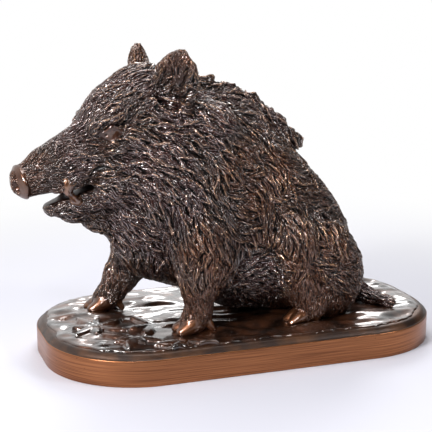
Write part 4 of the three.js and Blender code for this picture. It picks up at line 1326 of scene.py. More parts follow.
@dataclass
class Tree:
    """A node tree that is built a node at a time."""

    nodes: Nodes
    links: NodeLinks

    def add(self, kind: str, inputs: dict | None = None, **settings) -> Node:
        """Adds a node.

        Args:
            kind: The node's type name, without the ShaderNode that it starts with.
            inputs: What goes into each socket, by name or number: another socket or a constant.
            **settings: The node's own settings.

        Returns:
            The node.
        """
        node = self.nodes.new("ShaderNode" + kind)
        for name, value in settings.items():
            setattr(node, name, value)
        for socket, value in (inputs or {}).items():
            if isinstance(value, NodeSocket):
                self.links.new(value, node.inputs[socket])
            else:
                node.inputs[socket].default_value = value
        return node

    def out(
        self, kind: str, inputs: dict | None = None, output: int | str = 0, **settings
    ) -> NodeSocket:
        """Adds a node as `add` does, and returns one of its outputs."""
        return self.add(kind, inputs, **settings).outputs[output]


def new_material(name: str) -> tuple[Material, Tree]:
    """Returns an empty material and its tree."""
    material = bpy.data.materials.new(name)
    material.use_nodes = True
    material.node_tree.nodes.clear()
    return material, Tree(material.node_tree.nodes, material.node_tree.links)


def per_metre(millimetres: float) -> float:
    """Returns the scale that makes a pattern's features as large as given."""
    return 1.0 / (millimetres * MM)


@dataclass(frozen=True)
class PatinatedBronze:
    """Bronze cast, chased with fine tools, chemically patinated and waxed.

    The eye sees a nearly black brown in the hollows and between the strands, which is dirt and dark
    patina deepened by painted shade, a red-brown body, golden metal where handling has worn the
    raised tips, darkened bare parts that are partly painted shade, and small sharp white glints
    from the oxide and the wax. Pattern sizes are in millimetres.
    """

    # the hollows' colour: dirt and dark patina, made darker as painted shade
    hollow: str = "#060403"
    red: str = "#4b2721"
    body: str = "#3f2518"
    brown: str = "#5f3419"
    raised: str = "#8a6448"
    gold: str = "#b0804e"
    copper: str = "#7d5032"
    # colour of the bare parts that are not rubbed: partly their own darker patina, partly painted
    # shade
    shade: str = "#2c1610"
    tones: Vec3 = (0.1, 0.42, 0.9)  # how warm the patina is where it turns red, body and brown
    groove: float = 0.95  # how dark the patina, with painted shade, stays between the strands
    metallic: float = 0.85
    roughness: tuple[float, float] = (0.24, 0.42)  # on the rubbed tips, and elsewhere
    oxide_index: float = 2.2  # brown copper oxide, which reflects far more than wax alone
    wax: float = 1.0
    hollow_wax: float = 0.08  # the brush and the cloth miss the hollows
    warm_wax: float = 0.5  # handling thins the oxide where the metal shows golden
    shade_wax: float = 0.25  # and the eyes, the mouth and the ears' cups are hardly waxed
    wax_roughness: float = 0.16
    strand_depth: float = 0.55
    hairs: float = 1.6  # to a strand; really three or four, drawn fewer so that they show
    hair_length: float = 14.0
    lock_shift: float = 53.0  # moves each lock to hairs of its own
    grain_size: float = 0.8  # the sand's 0.2 mm grain, drawn coarser so that it shows
    grain_depth: float = 0.03
    patch_size: float = 26.0
    patchiness: float = 0.35
    fleck_size: float = 5.0

    def material(self) -> Material:
        """Returns the boar's material."""
        material, tree = new_material("patinated_bronze")
        add, out = tree.add, tree.out
        strand = out("Attribute", output="Vector", attribute_name="strand")
        wear_and_shade = out("Attribute", output="Vector", attribute_name="wear_and_shade")
        bare = out("Attribute", output="Fac", attribute_name="bare")
        rubbed = out("Attribute", output="Fac", attribute_name="rubbed")
        place = out("TexCoord", output="Object")
        rub, hollow, warmth = add("SeparateXYZ", {0: wear_and_shade}).outputs

        # Relief: strands with finer hairs on them, and the sand's grain over everything.
        across = out("SeparateXYZ", {0: strand})
        half_turns = out("Math", {0: across, 1: math.pi}, operation="MULTIPLY")
        wave = out("Math", {0: half_turns}, operation="SINE")
        ridge = out("Math", {0: wave}, operation="ABSOLUTE")
        hair_place = out(
            "VectorMath",
            {0: strand, 1: (self.hairs, 1 / self.hair_length, self.lock_shift)},
            operation="MULTIPLY",
        )
        fine = out(
            "TexNoise",
            {"Vector": hair_place, "Scale": 1.0, "Detail": 1.5, "Roughness": 0.6},
        )
        hairs = out("Math", {0: fine, 1: 0.5, 2: ridge}, operation="MULTIPLY_ADD")
        grain, patches, flecks = (
            out("TexNoise", {"Vector": place, "Scale": per_metre(size), "Detail": detail})
            for size, detail in (
                (self.grain_size, 2.0),
                (self.patch_size, 3.0),
                (self.fleck_size, 3.0),
            )
        )
        hairy = out("Math", {0: 1.0, 1: bare}, operation="SUBTRACT")
        haired = out(
            "Bump",
            {"Height": hairs, "Distance": self.strand_depth * MM, "Strength": hairy},
        )
        relief = out(
            "Bump",
            {"Height": grain, "Distance": self.grain_depth * MM, "Strength": 1.0, "Normal": haired},
        )

        # Where each layer of colour lies: the patina's tones and wear, the darkened bare parts, and
        # the dirt, dark patina and painted shade in the hollows.
        patchy = out(
            "MapRange",
            {0: patches, LOW: 0.3, HIGH: 0.7, TO_LOW: -self.patchiness, TO_HIGH: self.patchiness},
        )
        toned = out("Math", {0: warmth, 1: patchy}, operation="ADD")
        ramp = add("ValToRGB", {0: toned})
        stops = ramp.color_ramp.elements
        stops.new(self.tones[1])
        for stop, at, tone in zip(stops, self.tones, (self.red, self.body, self.brown)):
            stop.position, stop.color = at, linear(tone)
        crest = out(
            "MapRange",
            {0: rub, LOW: 0.35, HIGH: 1.0, TO_HIGH: 0.8},
            interpolation_type="SMOOTHSTEP",
        )
        flecked = out("MapRange", {0: flecks, LOW: 0.38, HIGH: 0.62, TO_LOW: 0.1, TO_HIGH: 1.0})
        worn = out("Math", {0: warmth, 1: flecked}, operation="MULTIPLY")
        tips = out("MapRange", {0: rub, LOW: 0.55, HIGH: 1.0}, interpolation_type="SMOOTHSTEP")
        golden = out("Math", {0: tips, 1: worn}, operation="MULTIPLY")
        polished = out("Math", {0: rubbed, 1: flecked}, operation="MULTIPLY")
        # Bare parts that are not rubbed go dark: partly their own darker patina, partly painted
        # shade in the mouth, the nostrils and the ears' cups.
        shaded = out("Math", {0: bare, 1: rubbed}, operation="SUBTRACT", use_clamp=True)
        # The hollows and the grooves between the strands go nearly black: partly dirt and dark
        # patina, partly painted shade.
        deep = out("MapRange", {0: hollow, LOW: 0.0, HIGH: 0.75}, interpolation_type="SMOOTHSTEP")
        grooved = out(
            "MapRange",
            {0: ridge, LOW: 0.0, HIGH: 0.75, TO_LOW: self.groove, TO_HIGH: 0.0},
        )
        lined = out("Math", {0: grooved, 1: hairy}, operation="MULTIPLY")
        dark = out("Math", {0: deep, 1: lined}, operation="MAXIMUM")
        colour = ramp.outputs[0]
        for share, over in (
            (crest, self.raised),
            (golden, self.gold),
            (polished, self.copper),
            (shaded, self.shade),
            (dark, self.hollow),
        ):
            mix = {0: share, BASE: colour, OVER: linear(over)}
            colour = out("Mix", mix, MIXED, data_type="RGBA")

        # Gloss: the tips are polished, and the wax is thin wherever it was wiped off or missed.
        roughness = out(
            "MapRange",
            {0: rub, LOW: 0.0, HIGH: 1.0, TO_LOW: self.roughness[1], TO_HIGH: self.roughness[0]},
        )
        waxed = out(
            "MapRange",
            {0: dark, LOW: 0.05, HIGH: 0.9, TO_LOW: self.wax, TO_HIGH: self.hollow_wax},
        )
        for where, least in ((toned, self.warm_wax), (shaded, self.shade_wax)):
            kept = out("MapRange", {0: where, TO_LOW: 1.0, TO_HIGH: least})
            waxed = out("Math", {0: waxed, 1: kept}, operation="MULTIPLY")
        shader = out(
            "BsdfPrincipled",
            {
                "Base Color": colour,
                "Metallic": self.metallic,
                "Roughness": roughness,
                "Coat Weight": waxed,
                "Coat IOR": self.oxide_index,
                "Coat Roughness": self.wax_roughness,
                "Normal": relief,
                "Coat Normal": relief,
            },
        )
        add("OutputMaterial", {"Surface": shader})
        return material


@dataclass(frozen=True)
class BrushedBronze:
    """Bronze turned and brushed lengthways with abrasive cloth, then lacquered.

    The eye sees warm copper-brown with faint level lines, a few dark pinholes, and a soft
    reflection that stretches upwards. Pattern sizes are in millimetres.
    """

    metal: str = "#b0734a"
    shade: str = "#7a4a2e"
    pit: str = "#2a170f"
    roughness: tuple[float, float] = (0.29, 0.42)  # on the lines, and between them
    line_spacing: float = 0.7  # 0.1 mm scratches, drawn coarser so that they show
    line_length: float = 60.0
    line_depth: float = 0.02
    cloud_size: float = 18.0
    pit_spacing: float = 4.5
    lacquer: float = 0.25
    lacquer_roughness: float = 0.2

    def material(self) -> Material:
        """Returns the rim's material."""
        material, tree = new_material("brushed_bronze")
        add, out = tree.add, tree.out
        around = out("Attribute", output="Vector", attribute_name="around")
        place = out("TexCoord", output="Object")
        stretched = out(
            "VectorMath",
            {0: around, 1: (1 / self.line_length, 1 / self.line_spacing, 1.0)},
            operation="MULTIPLY",
        )
        lines = out(
            "TexNoise",
            {"Vector": stretched, "Scale": 1.0, "Detail": 4.0, "Roughness": 0.6},
        )
        cloud = out(
            "TexNoise",
            {"Vector": place, "Scale": per_metre(self.cloud_size), "Detail": 4.0},
        )
        pits = out("TexVoronoi", {"Vector": place, "Scale": per_metre(self.pit_spacing)})
        pitted = out("MapRange", {0: pits, LOW: 0.06, HIGH: 0.11, TO_LOW: 1.0, TO_HIGH: 0.0})
        fewer = out("MapRange", {0: cloud, LOW: 0.52, HIGH: 0.6, TO_HIGH: 0.8})
        pinholes = out("Math", {0: pitted, 1: fewer}, operation="MULTIPLY")
        streak = out("MapRange", {0: lines, LOW: 0.35, HIGH: 0.68})
        colour = out(
            "Mix",
            {0: streak, BASE: linear(self.shade), OVER: linear(self.metal)},
            MIXED,
            data_type="RGBA",
        )
        colour = out(
            "Mix",
            {0: pinholes, BASE: colour, OVER: linear(self.pit)},
            MIXED,
            data_type="RGBA",
        )
        gloss = out(
            "MapRange",
            {0: lines, LOW: 0.3, HIGH: 0.7, TO_LOW: self.roughness[1], TO_HIGH: self.roughness[0]},
        )
        relief = out("Bump", {"Height": lines, "Distance": self.line_depth * MM, "Strength": 1.0})
        shader = out(
            "BsdfPrincipled",
            {
                "Base Color": colour,
                "Metallic": 1.0,
                "Roughness": gloss,
                "Coat Weight": self.lacquer,
                "Coat Roughness": self.lacquer_roughness,
                "Normal": relief,
            },
        )
        add("OutputMaterial", {"Surface": shader})
        return material


@dataclass(frozen=True)
class WaxedBronze:
    """Cast bronze under a dark patina and much wax: the modelled ground and the band round it.

    The eye sees a nearly black brown with broad wet-looking white reflections that break on
    every ripple. The band is left finely pitted by the mould. Sizes are in millimetres.
    """

    dark: str = "#1d110b"
    brown: str = "#5a3521"
    metallic: float = 0.6
    roughness: float = 0.26
    wax: float = 1.0
    oxide_index: float = 1.75
    wax_roughness: float = 0.1
    cloud_size: float = 14.0
    pit_spacing: float = 1.4  # the mould's 0.3 mm pits, drawn coarser so that they show
    pit_depth: float = 0.06

    def material(self, name: str, pitted: float) -> Material:
        """Returns the material of the ground or of the band.

        Args:
            name: The material's name.
            pitted: How deep the mould's pits are, from 0 to 1.

        Returns:
            The material.
        """
        material, tree = new_material(name)
        add, out = tree.add, tree.out
        place = out("TexCoord", output="Object")
        cloud = out(
            "TexNoise",
            {"Vector": place, "Scale": per_metre(self.cloud_size), "Detail": 5.0},
        )
        pits = out(
            "TexNoise",
            {
                "Vector": place,
                "Scale": per_metre(self.pit_spacing),
                "Detail": 3.0,
                "Roughness": 0.65,
            },
        )
        tone = out("MapRange", {0: cloud, LOW: 0.4, HIGH: 0.7})
        colour = out(
            "Mix",
            {0: tone, BASE: linear(self.dark), OVER: linear(self.brown)},
            MIXED,
            data_type="RGBA",
        )
        gloss = out(
            "MapRange",
            {
                0: pits,
                LOW: 0.3,
                HIGH: 0.7,
                TO_LOW: self.roughness + 0.1 * pitted,
                TO_HIGH: self.roughness + 0.12 + 0.2 * pitted,
            },
        )
        relief = out(
            "Bump",
            {"Height": pits, "Distance": self.pit_depth * (0.4 + pitted) * MM, "Strength": 1.0},
        )
        shader = out(
            "BsdfPrincipled",
            {
                "Base Color": colour,
                "Metallic": self.metallic,
                "Roughness": gloss,
                "Coat Weight": self.wax * (1.0 - 0.8 * pitted),
                "Coat IOR": self.oxide_index,
                "Coat Roughness": self.wax_roughness + 0.2 * pitted,
                "Normal": relief,
                "Coat Normal": relief,
            },
        )
        add("OutputMaterial", {"Surface": shader})
        return material


# ---- plinth


@dataclass(frozen=True)
class Swell:
    """A long wave across the ground, by its height and its run along x and y."""

    height: float
    along_x: float
    along_y: float
    phase: float = 0.0
    warp: float = 0.0

    def level(self, x: np.ndarray, y: np.ndarray) -> np.ndarray:
        """Returns the wave's height at places."""
        drift = self.warp * np.sin(x / 13.7 + y / 8.9 + self.phase)
        return self.height * np.sin(x / self.along_x + y / self.along_y + self.phase + drift)


@dataclass(frozen=True)
class Lump:
    """A rounded stone or clod on the ground, or a hollow where its height is negative."""

    x: float
    y: float
    radius: float
    height: float

    def level(self, x: np.ndarray, y: np.ndarray) -> np.ndarray:
        """Returns how far the lump raises the ground at places."""
        reach = np.hypot(x - self.x, (y - self.y) * 1.3) / self.radius
        return self.height * (1 - smooth(0.35, 1.0, reach))


@dataclass(frozen=True)
class Leaf:
    """A leaf that lies on the ground, from its root out along an angle in degrees."""

    root: tuple[float, float]
    angle: float
    length: float
    width: float
    thickness: float
    lift: float

    def level(self, x: np.ndarray, y: np.ndarray) -> tuple[np.ndarray, np.ndarray]:
        """Returns the height of the leaf's top over its root's level, and where it lies."""
        turn = math.radians(self.angle)
        dx, dy = x - self.root[0], y - self.root[1]
        u = (dx * math.cos(turn) + dy * math.sin(turn)) / self.length
        curl = 0.10 * self.length * (u * u) * math.sin(self.angle)
        aside = -dx * math.sin(turn) + dy * math.cos(turn) - curl
        half = 0.5 * self.width * np.sin(np.pi * np.clip(u, 0.001, 0.999)) ** 0.8
        share = np.abs(aside) / np.maximum(half, 1e-3)
        on = (u > 0) & (u < 1) & (share < 1)
        rib = 0.6 * np.exp(-((aside / 0.8) ** 2))
        veins = 0.22 * np.sin((u * self.length - np.abs(aside) * 0.9) * 1.7)
        cup = self.thickness * np.sqrt(np.clip(1 - share**2, 0, 1)) * (1 - 0.25 * share)
        rise = self.length * u * math.tan(math.radians(self.lift)) * (1 - 0.55 * u)
        return cup + rise - rib + veins * (1 - share), on


@dataclass
class Plinth:
    """The plinth: a brushed rim, a smooth band, and a modelled ground with a low plant.

    Each plant is given by its place and its leaves' angles. The ground is calmed round it, so
    that the leaves show.
    """

    length: float = 300.0
    width: float = 162.7
    corner_radius: float = 68.5
    rim_height: float = 18.75
    arris: float = 0.8
    band_inset: float = 5.5
    band_height: float = 22.4
    ground_height: float = 24.0
    highest: float = 26.5
    edge_inset: float = 7.2
    edge_round: float = 1.3
    shore_rise: float = 1.1
    shore_width: float = 9.0
    highest_bend: float = 0.8
    ground_bottom: float = 20.8
    step: float = 1.1
    step_up: float = 0.6
    outline_steps: int = 480
    swells: tuple[Swell, ...] = (Swell(0.8, 9.3, 31), Swell(0.6, -23, 7.1), Swell(0.5, 15, 9))
    ripples: tuple[Swell, ...] = (
        Swell(0.6, 24, 3.1, 0.4, 1.3),
        Swell(0.4, -19, 2.1, 1.9, 1.5),
        Swell(0.16, 7.1, 2.9, 3.1, 0.9),
        Swell(0.08, 2.9, -2.2, 4.4, 1.2),
    )
    plants: tuple[tuple[float, float, tuple[float, ...]], ...] = (
        (-112, -12, (20, 75, 118, 170, 215, 262, 320)),
        (-92, -44, (155, 205, 245, 280, 318)),
        (-74, -22, (110, 190, 250)),
        (-60, -64, (185, 225, 330)),
    )
    leaf_length: float = 25.0
    leaf_width: float = 9.0
    leaf_thickness: float = 2.3
    leaf_lift: float = 3.0
    leaf_root: float = -0.4
    short_leaf: float = 0.72
    calm_reach: float = 22.0
    calm: float = 0.85
    calm_sunk: float = 0.8
    lumps: int = 46
    lumps_from: tuple[float, float] = (-132, -66)
    lumps_to: tuple[float, float] = (-58, 52)
    lump_radii: tuple[float, float] = (3.0, 9.0)
    lump_heights: tuple[float, float] = (-1.3, 1.9)
    lump_limits: tuple[float, float] = (-1.6, 2.2)
    rim_faces: int = 8  # rows of faces, from the underside up, that are brushed

    def inset(self, x: np.ndarray, y: np.ndarray) -> np.ndarray:
        """Returns how far inside the outline places lie."""
        over_x = np.abs(x) - (self.length / 2 - self.corner_radius)
        over_y = np.abs(y) - (self.width / 2 - self.corner_radius)
        outside = np.hypot(np.maximum(over_x, 0), np.maximum(over_y, 0))
        return self.corner_radius - outside - np.minimum(np.maximum(over_x, over_y), 0)

    def edge(self, x: np.ndarray, y: np.ndarray) -> np.ndarray:
        """Returns how far inside the outline the ground's uneven edge runs at places."""
        wander = 0.9 * np.sin(x / 8.3 + y / 6.1 + 1.0) + 0.7 * np.sin(x / 3.7 - y / 4.9)
        return self.edge_inset + wander + 0.4 * np.sin(x / 1.9 + y / 2.3)

    def leaves(self) -> list[Leaf]:
        """Returns the plant's leaves."""
        return [
            Leaf(
                (x, y),
                angle,
                self.leaf_length * (self.short_leaf if i % 2 else 1.0),
                self.leaf_width,
                self.leaf_thickness,
                self.leaf_lift,
            )
            for x, y, angles in self.plants
            for i, angle in enumerate(angles)
        ]

    def clods(self) -> list[Lump]:
        """Returns the stones, clods and hollows of the rough ground before the boar."""
        rng = np.random.default_rng(SEED + 4)
        x = rng.uniform(self.lumps_from[0], self.lumps_to[0], self.lumps)
        y = rng.uniform(self.lumps_from[1], self.lumps_to[1], self.lumps)
        radius = rng.uniform(*self.lump_radii, self.lumps)
        height = rng.uniform(*self.lump_heights, self.lumps)
        return [Lump(*numbers) for numbers in zip(x, y, radius, height)]

    def ground_level(self, x: np.ndarray, y: np.ndarray) -> np.ndarray:
        """Finds how high the modelled ground is.

        Args:
            x: The places along x.
            y: The places along y.

        Returns:
            The level at each place.
        """
        level = self.ground_height + sum(swell.level(x, y) for swell in self.swells)
        level = level + sum(ripple.level(x, y) for ripple in self.ripples)
        clods = sum(clod.level(x, y) for clod in self.clods())
        level = level + np.clip(clods, *self.lump_limits)
        gaps = [(x - px) ** 2 + (y - py) ** 2 for px, py, _ in self.plants]
        calm = self.calm * np.minimum(sum(np.exp(-gap / self.calm_reach**2) for gap in gaps), 1)
        level = level * (1 - calm) + (self.ground_height - self.calm_sunk) * calm
        shore = smooth(0, self.shore_width, self.inset(x, y) - self.edge(x, y))
        level = (self.band_height + self.shore_rise) * (1 - shore) + level * shore
        root = self.ground_height + self.leaf_root
        for leaf in self.leaves():
            rise, on = leaf.level(x, y)
            level = np.where(on, np.maximum(level, root + rise), level)
        bend = self.highest_bend
        over = np.maximum(level - self.highest + bend, 0)
        return level - over + bend * np.tanh(over / bend)

    def profile(self) -> list[tuple[float, float]]:
        """Returns the base's profile as insets and heights, from its underside up."""
        top = self.rim_height
        rounded = [
            (self.arris * (1 - math.cos(a)), top - self.arris * (1 - math.sin(a)))
            for a in np.linspace(0, math.pi / 2, 5)
        ]
        rise = self.band_height - top
        run = self.band_inset - self.arris - 0.5
        band = [
            (self.arris + 0.5 + run * t, top + 0.15 + (rise - 0.15) * math.sin(t * math.pi / 2))
            for t in (0.0, 0.12, 0.3, 0.5, 0.75, 1.0)
        ]
        return [
            (0.35, 0.0),
            (0.1, 0.1),
            (0.0, 0.35),
            (0.0, 6.0),
            (0.0, 12.0),
            *rounded,
            *band,
            (10.5, self.band_height),
            (12.0, self.ground_bottom + 0.6),
        ]

    def outline(self) -> tuple[np.ndarray, np.ndarray, np.ndarray]:
        """Returns the outline's core points, outward ways and distances round it."""
        core = np.array([self.length / 2, self.width / 2]) - self.corner_radius
        arc = self.corner_radius * math.pi / 2
        lengths = [arc, 2 * core[0], arc, 2 * core[1]] * 2
        total = sum(lengths)
        round_it = np.arange(self.outline_steps) * total / self.outline_steps
        ends = np.cumsum(lengths)
        starts = ends - lengths
        corners = core * np.array([[1, 1], [-1, 1], [-1, -1], [1, -1]])
        points, ways = [], []
        for distance in round_it:
            leg = int(np.searchsorted(ends, distance, "right"))
            share = (distance - starts[leg]) / lengths[leg]
            quarter = leg // 2
            if leg % 2 == 0:
                angle = (quarter + share) * math.pi / 2
                points.append(corners[quarter])
            else:
                angle = (quarter + 1) * math.pi / 2
                following = corners[(quarter + 1) % 4]
                points.append(corners[quarter] + (following - corners[quarter]) * share)
            ways.append((math.cos(angle), math.sin(angle)))
        return np.array(points), np.array(ways), round_it

    def build_base(self) -> Object:
        """Builds the rim and the band as rings, closed above and below."""
        core, ways, round_it = self.outline()
        profile = self.profile()
        count = len(core)
        rings = []
        for inset, height in profile:
            ring = core + ways * (self.corner_radius - inset)
            rings.append(np.column_stack([ring, np.full(count, height)]))
        steps = np.arange(count)
        quads = []
        for ring in range(len(profile) - 1):
            here, after = ring * count + steps, ring * count + (steps + 1) % count
            quads.append(np.stack([here, after, after + count, here + count], 1))
        base = mesh_object("plinth_base", np.vstack(rings), np.vstack(quads))
        around = [
            np.column_stack([round_it, np.full(count, height), np.zeros(count)])
            for _, height in profile
        ]
        store(base.data, "around", np.vstack(around))
        rim_top = self.rim_faces * count
        kinds = np.where(np.arange(len(base.data.polygons)) < rim_top, 0, 1)
        base.data.polygons.foreach_set("material_index", kinds.astype(np.int32))
        self.cap(base, count, len(profile))
        return base

    @staticmethod
    def cap(base: Object, count: int, rings: int) -> None:
        """Closes the base's lowest and highest ring with a flat face each."""
        shell = bmesh.new()
        shell.from_mesh(base.data)
        shell.verts.ensure_lookup_table()
        top = [shell.verts[(rings - 1) * count + i] for i in range(count)]
        bottom = [shell.verts[count - 1 - i] for i in range(count)]
        for ring, kind in ((top, 1), (bottom, 0)):
            face = shell.faces.new(ring)
            face.material_index = kind
        shell.to_mesh(base.data)
        shell.free()

    def build_ground(self) -> Object:
        """Builds the modelled ground with its plant as one closed skin."""
        half = np.array([self.length / 2, self.width / 2])
        grid = (
            np.arange(-half[0], half[0] + self.step, self.step),
            np.arange(-half[1], half[1] + self.step, self.step),
            np.arange(self.ground_bottom - 1.2, self.highest + 1.4, self.step_up),
        )
        x, y = np.meshgrid(grid[0], grid[1], indexing="ij")
        level = self.ground_level(x, y)
        outside = (self.edge(x, y) - self.inset(x, y))[:, :, None]
        above = grid[2][None, None, :] - level[:, :, None]
        value = -soft_join(-above, -np.broadcast_to(outside, above.shape), self.edge_round)
        value = np.maximum(value, self.ground_bottom - grid[2][None, None, :])
        skinner = Skinner(value.astype(np.float32), grid)
        points, number = skinner.vertices()
        return mesh_object("plinth_ground", points, skinner.quads(number))

    def build(self) -> Object:
        """Builds the plinth as one piece in place of the solid one."""
        base, ground = self.build_base(), self.build_ground()
        ground.data.polygons.foreach_set(
            "material_index", np.full(len(ground.data.polygons), 2, np.int32)
        )
        materials = [
            BrushedBronze().material(),
            WaxedBronze(dark="#2a1a12", brown="#54351f").material("waxed_band", 1.0),
            WaxedBronze().material("waxed_ground", 0.0),
        ]
        for part in (base, ground):
            for material in materials:
                part.data.materials.append(material)
        piece = joined("plinth_casting", [base, ground])
        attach(piece, "root")
        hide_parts("plinth")
        return piece


def joined(name: str, parts: list[Object]) -> Object:
    """Returns one object made of several, which share their material slots."""
    with bpy.context.temp_override(active_object=parts[0], selected_editable_objects=parts):
        bpy.ops.object.join()
    parts[0].name = name
    parts[0].data.name = name
    return parts[0]


# ---- boar


@dataclass
class Boar:
    """The boar: the solid model's masses with the coat combed over them."""

    plinth: Plinth
    form: BoarForm = field(default_factory=BoarForm)
    low: Vec3 = (-174.0, -65.0, 20.5)
    high: Vec3 = (121.0, 65.0, 228.5)
    step: float = 1.2
    seat_gap: float = 0.12
    most_triangles: int = 197_000
    box_gap: float = 0.08
    bare_fade: tuple[float, float] = (0.35, 1.3)
    fine_rounds: int = 12
    broad_rounds: int = 50
    fine_relief: float = 0.5
    broad_relief: float = 1.2

    def grid(self) -> tuple[np.ndarray, ...]:
        """Returns the lattice's places along x, y and z."""
        return tuple(np.arange(a, b, self.step) for a, b in zip(self.low, self.high))

    def skin(self, clay: Clay) -> tuple[np.ndarray, np.ndarray]:
        """Skins the clay where it sits on the plinth.

        Args:
            clay: The boar's clay.

        Returns:
            The skin's vertices and quads.
        """
        grid = self.grid()
        values = clay.sampled(grid)
        x, y = np.meshgrid(grid[0], grid[1], indexing="ij")
        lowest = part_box("boar")[0].z / MM + self.box_gap
        seat = np.maximum(self.plinth.ground_level(x, y) + self.seat_gap, lowest)
        np.maximum(values, seat[:, :, None] - grid[2][None, None, :], out=values)
        skinner = Skinner(values.astype(np.float32), grid)
        points, number = skinner.vertices()
        return largest_part(points, skinner.quads(number))

    def bareness(self, clay: Clay, points: np.ndarray) -> tuple[np.ndarray, np.ndarray]:
        """Finds the hairless places: hooves, snout, eyes, tusks, the mouth and the ears' cups.

        Args:
            clay: The boar's clay.
            points: Points of its skin.

        Returns:
            How bare each point is, and how far it is rubbed to the bright metal.
        """
        bare, rubbed = np.zeros(len(points)), np.zeros(len(points))
        for mass in clay.laid:
            if mass.bare:
                share = 1 - smooth(*self.bare_fade, np.abs(mass.shape.distance(points)))
                bare = np.maximum(bare, share)
                rubbed = np.maximum(rubbed, share * mass.bare)
        return bare, rubbed

    def combed(
        self, points: np.ndarray, quads: np.ndarray, edges: Edges, bare: np.ndarray
    ) -> tuple[np.ndarray, Combed]:
        """Lays the coat: broad grooved tufts, and sparse wisps that follow them.

        Args:
            points: The skin's vertices.
            quads: Its quads.
            edges: Its edges.
            bare: How bare each vertex is, from 0 to 1.

        Returns:
            The vertices with the coat on, and what the coat does at each.
        """
        combs = self.form.combs()
        outward = vertex_normals(points, quads)
        coat = Coat(combs, SEED + 2, None, 1.6, 3.2, 1.5, groove=0.75, spacing=0.46)
        tufts = coat.laid(points, outward, bare)
        points = points + outward * tufts.rise[:, None]
        outward = vertex_normals(edges.spread_points(points, 5), quads)
        coat = Coat(combs, SEED, tufts.way, 1.2, 0.8, 0.65, 0.4, clump=6, spacing=1.0, sunk=0)
        both = coat.laid(points, outward, bare).over(tufts)
        lift = (both.rise - tufts.rise)[:, None]
        return self.inside_box(points + outward * lift), both

    def build(self) -> Object:
        """Builds the boar as one piece in place of the solid one."""
        clay = self.form.sculpt()
        points, quads = refined(*self.skin(clay))
        log.info("boar: %d vertices before thinning", len(points))
        edges = Edges.of(quads, len(points))
        bare, rubbed = self.bareness(clay, points)
        points, coat = self.combed(points, quads, edges, bare)
        wear_and_shade = self.wear_and_shade(points, quads, edges, coat)
        piece = thinned(mesh_object("boar_casting", points, quads), self.most_triangles)
        mesh = piece.data
        mesh.polygons.foreach_set("use_smooth", np.ones(len(mesh.polygons), bool))
        source = nearest(points, mesh)
        layers = {"strand": coat.strand, "wear_and_shade": wear_and_shade, "bare": bare, "rubbed": rubbed}
        for name, values in layers.items():
            store(mesh, name, values[source])
        mesh.materials.append(PatinatedBronze().material())
        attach(piece, "root")
        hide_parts("boar")
        return piece

    def inside_box(self, points: np.ndarray) -> np.ndarray:
        """Returns points kept inside the solid boar's box."""
        low, high = (np.array(corner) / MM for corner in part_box("boar"))
        return np.clip(points, low + self.box_gap, high - self.box_gap)

    def wear_and_shade(self, points: np.ndarray, quads: np.ndarray, edges: Edges, coat: Combed) -> np.ndarray:
        """Finds where hands rub the casting, and the hollows where dirt gathers and which are
        darkened as painted shade.

        Args:
            points: The vertices with the coat on.
            quads: The skin's quads.
            edges: Its edges.
            coat: What the coat does at each vertex.

        Returns:
            For each vertex, how rubbed, how hollow and how worn it is.
        """
        outward = vertex_normals(points, quads)
        fine = coat.rise - edges.spread(coat.rise, self.fine_rounds)
        level = edges.spread_points(points, self.broad_rounds)
        broad = ((points - level) * outward).sum(1)
        raised = fine / self.fine_relief + broad / self.broad_relief
        rub = smooth(-0.1, 2.0, raised)
        hollow = smooth(-0.1, 1.6, -raised)
        return np.stack([rub, hollow, coat.warmth], 1)


# ---- studio


@dataclass(frozen=True)
class Softbox:
    """A square lamp behind white cloth, aimed at the middle of the piece."""

    name: str
    place: Vec3
    side: float
    radiance: float

    def build(self) -> Object:
        """Builds the lamp. Its power follows from how bright its cloth looks."""
        data = bpy.data.lights.new(self.name, "AREA")
        data.shape = "SQUARE"
        data.size = self.side
        data.energy = self.radiance * math.pi * self.side**2
        lamp = bpy.data.objects.new(self.name, data)
        lamp.location = self.place
        aim = Vector((0, 0, 0.1)) - lamp.location
        lamp.rotation_euler = aim.to_track_quat("-Z", "Y").to_euler()
        bpy.context.scene.collection.objects.link(lamp)
        return lamp


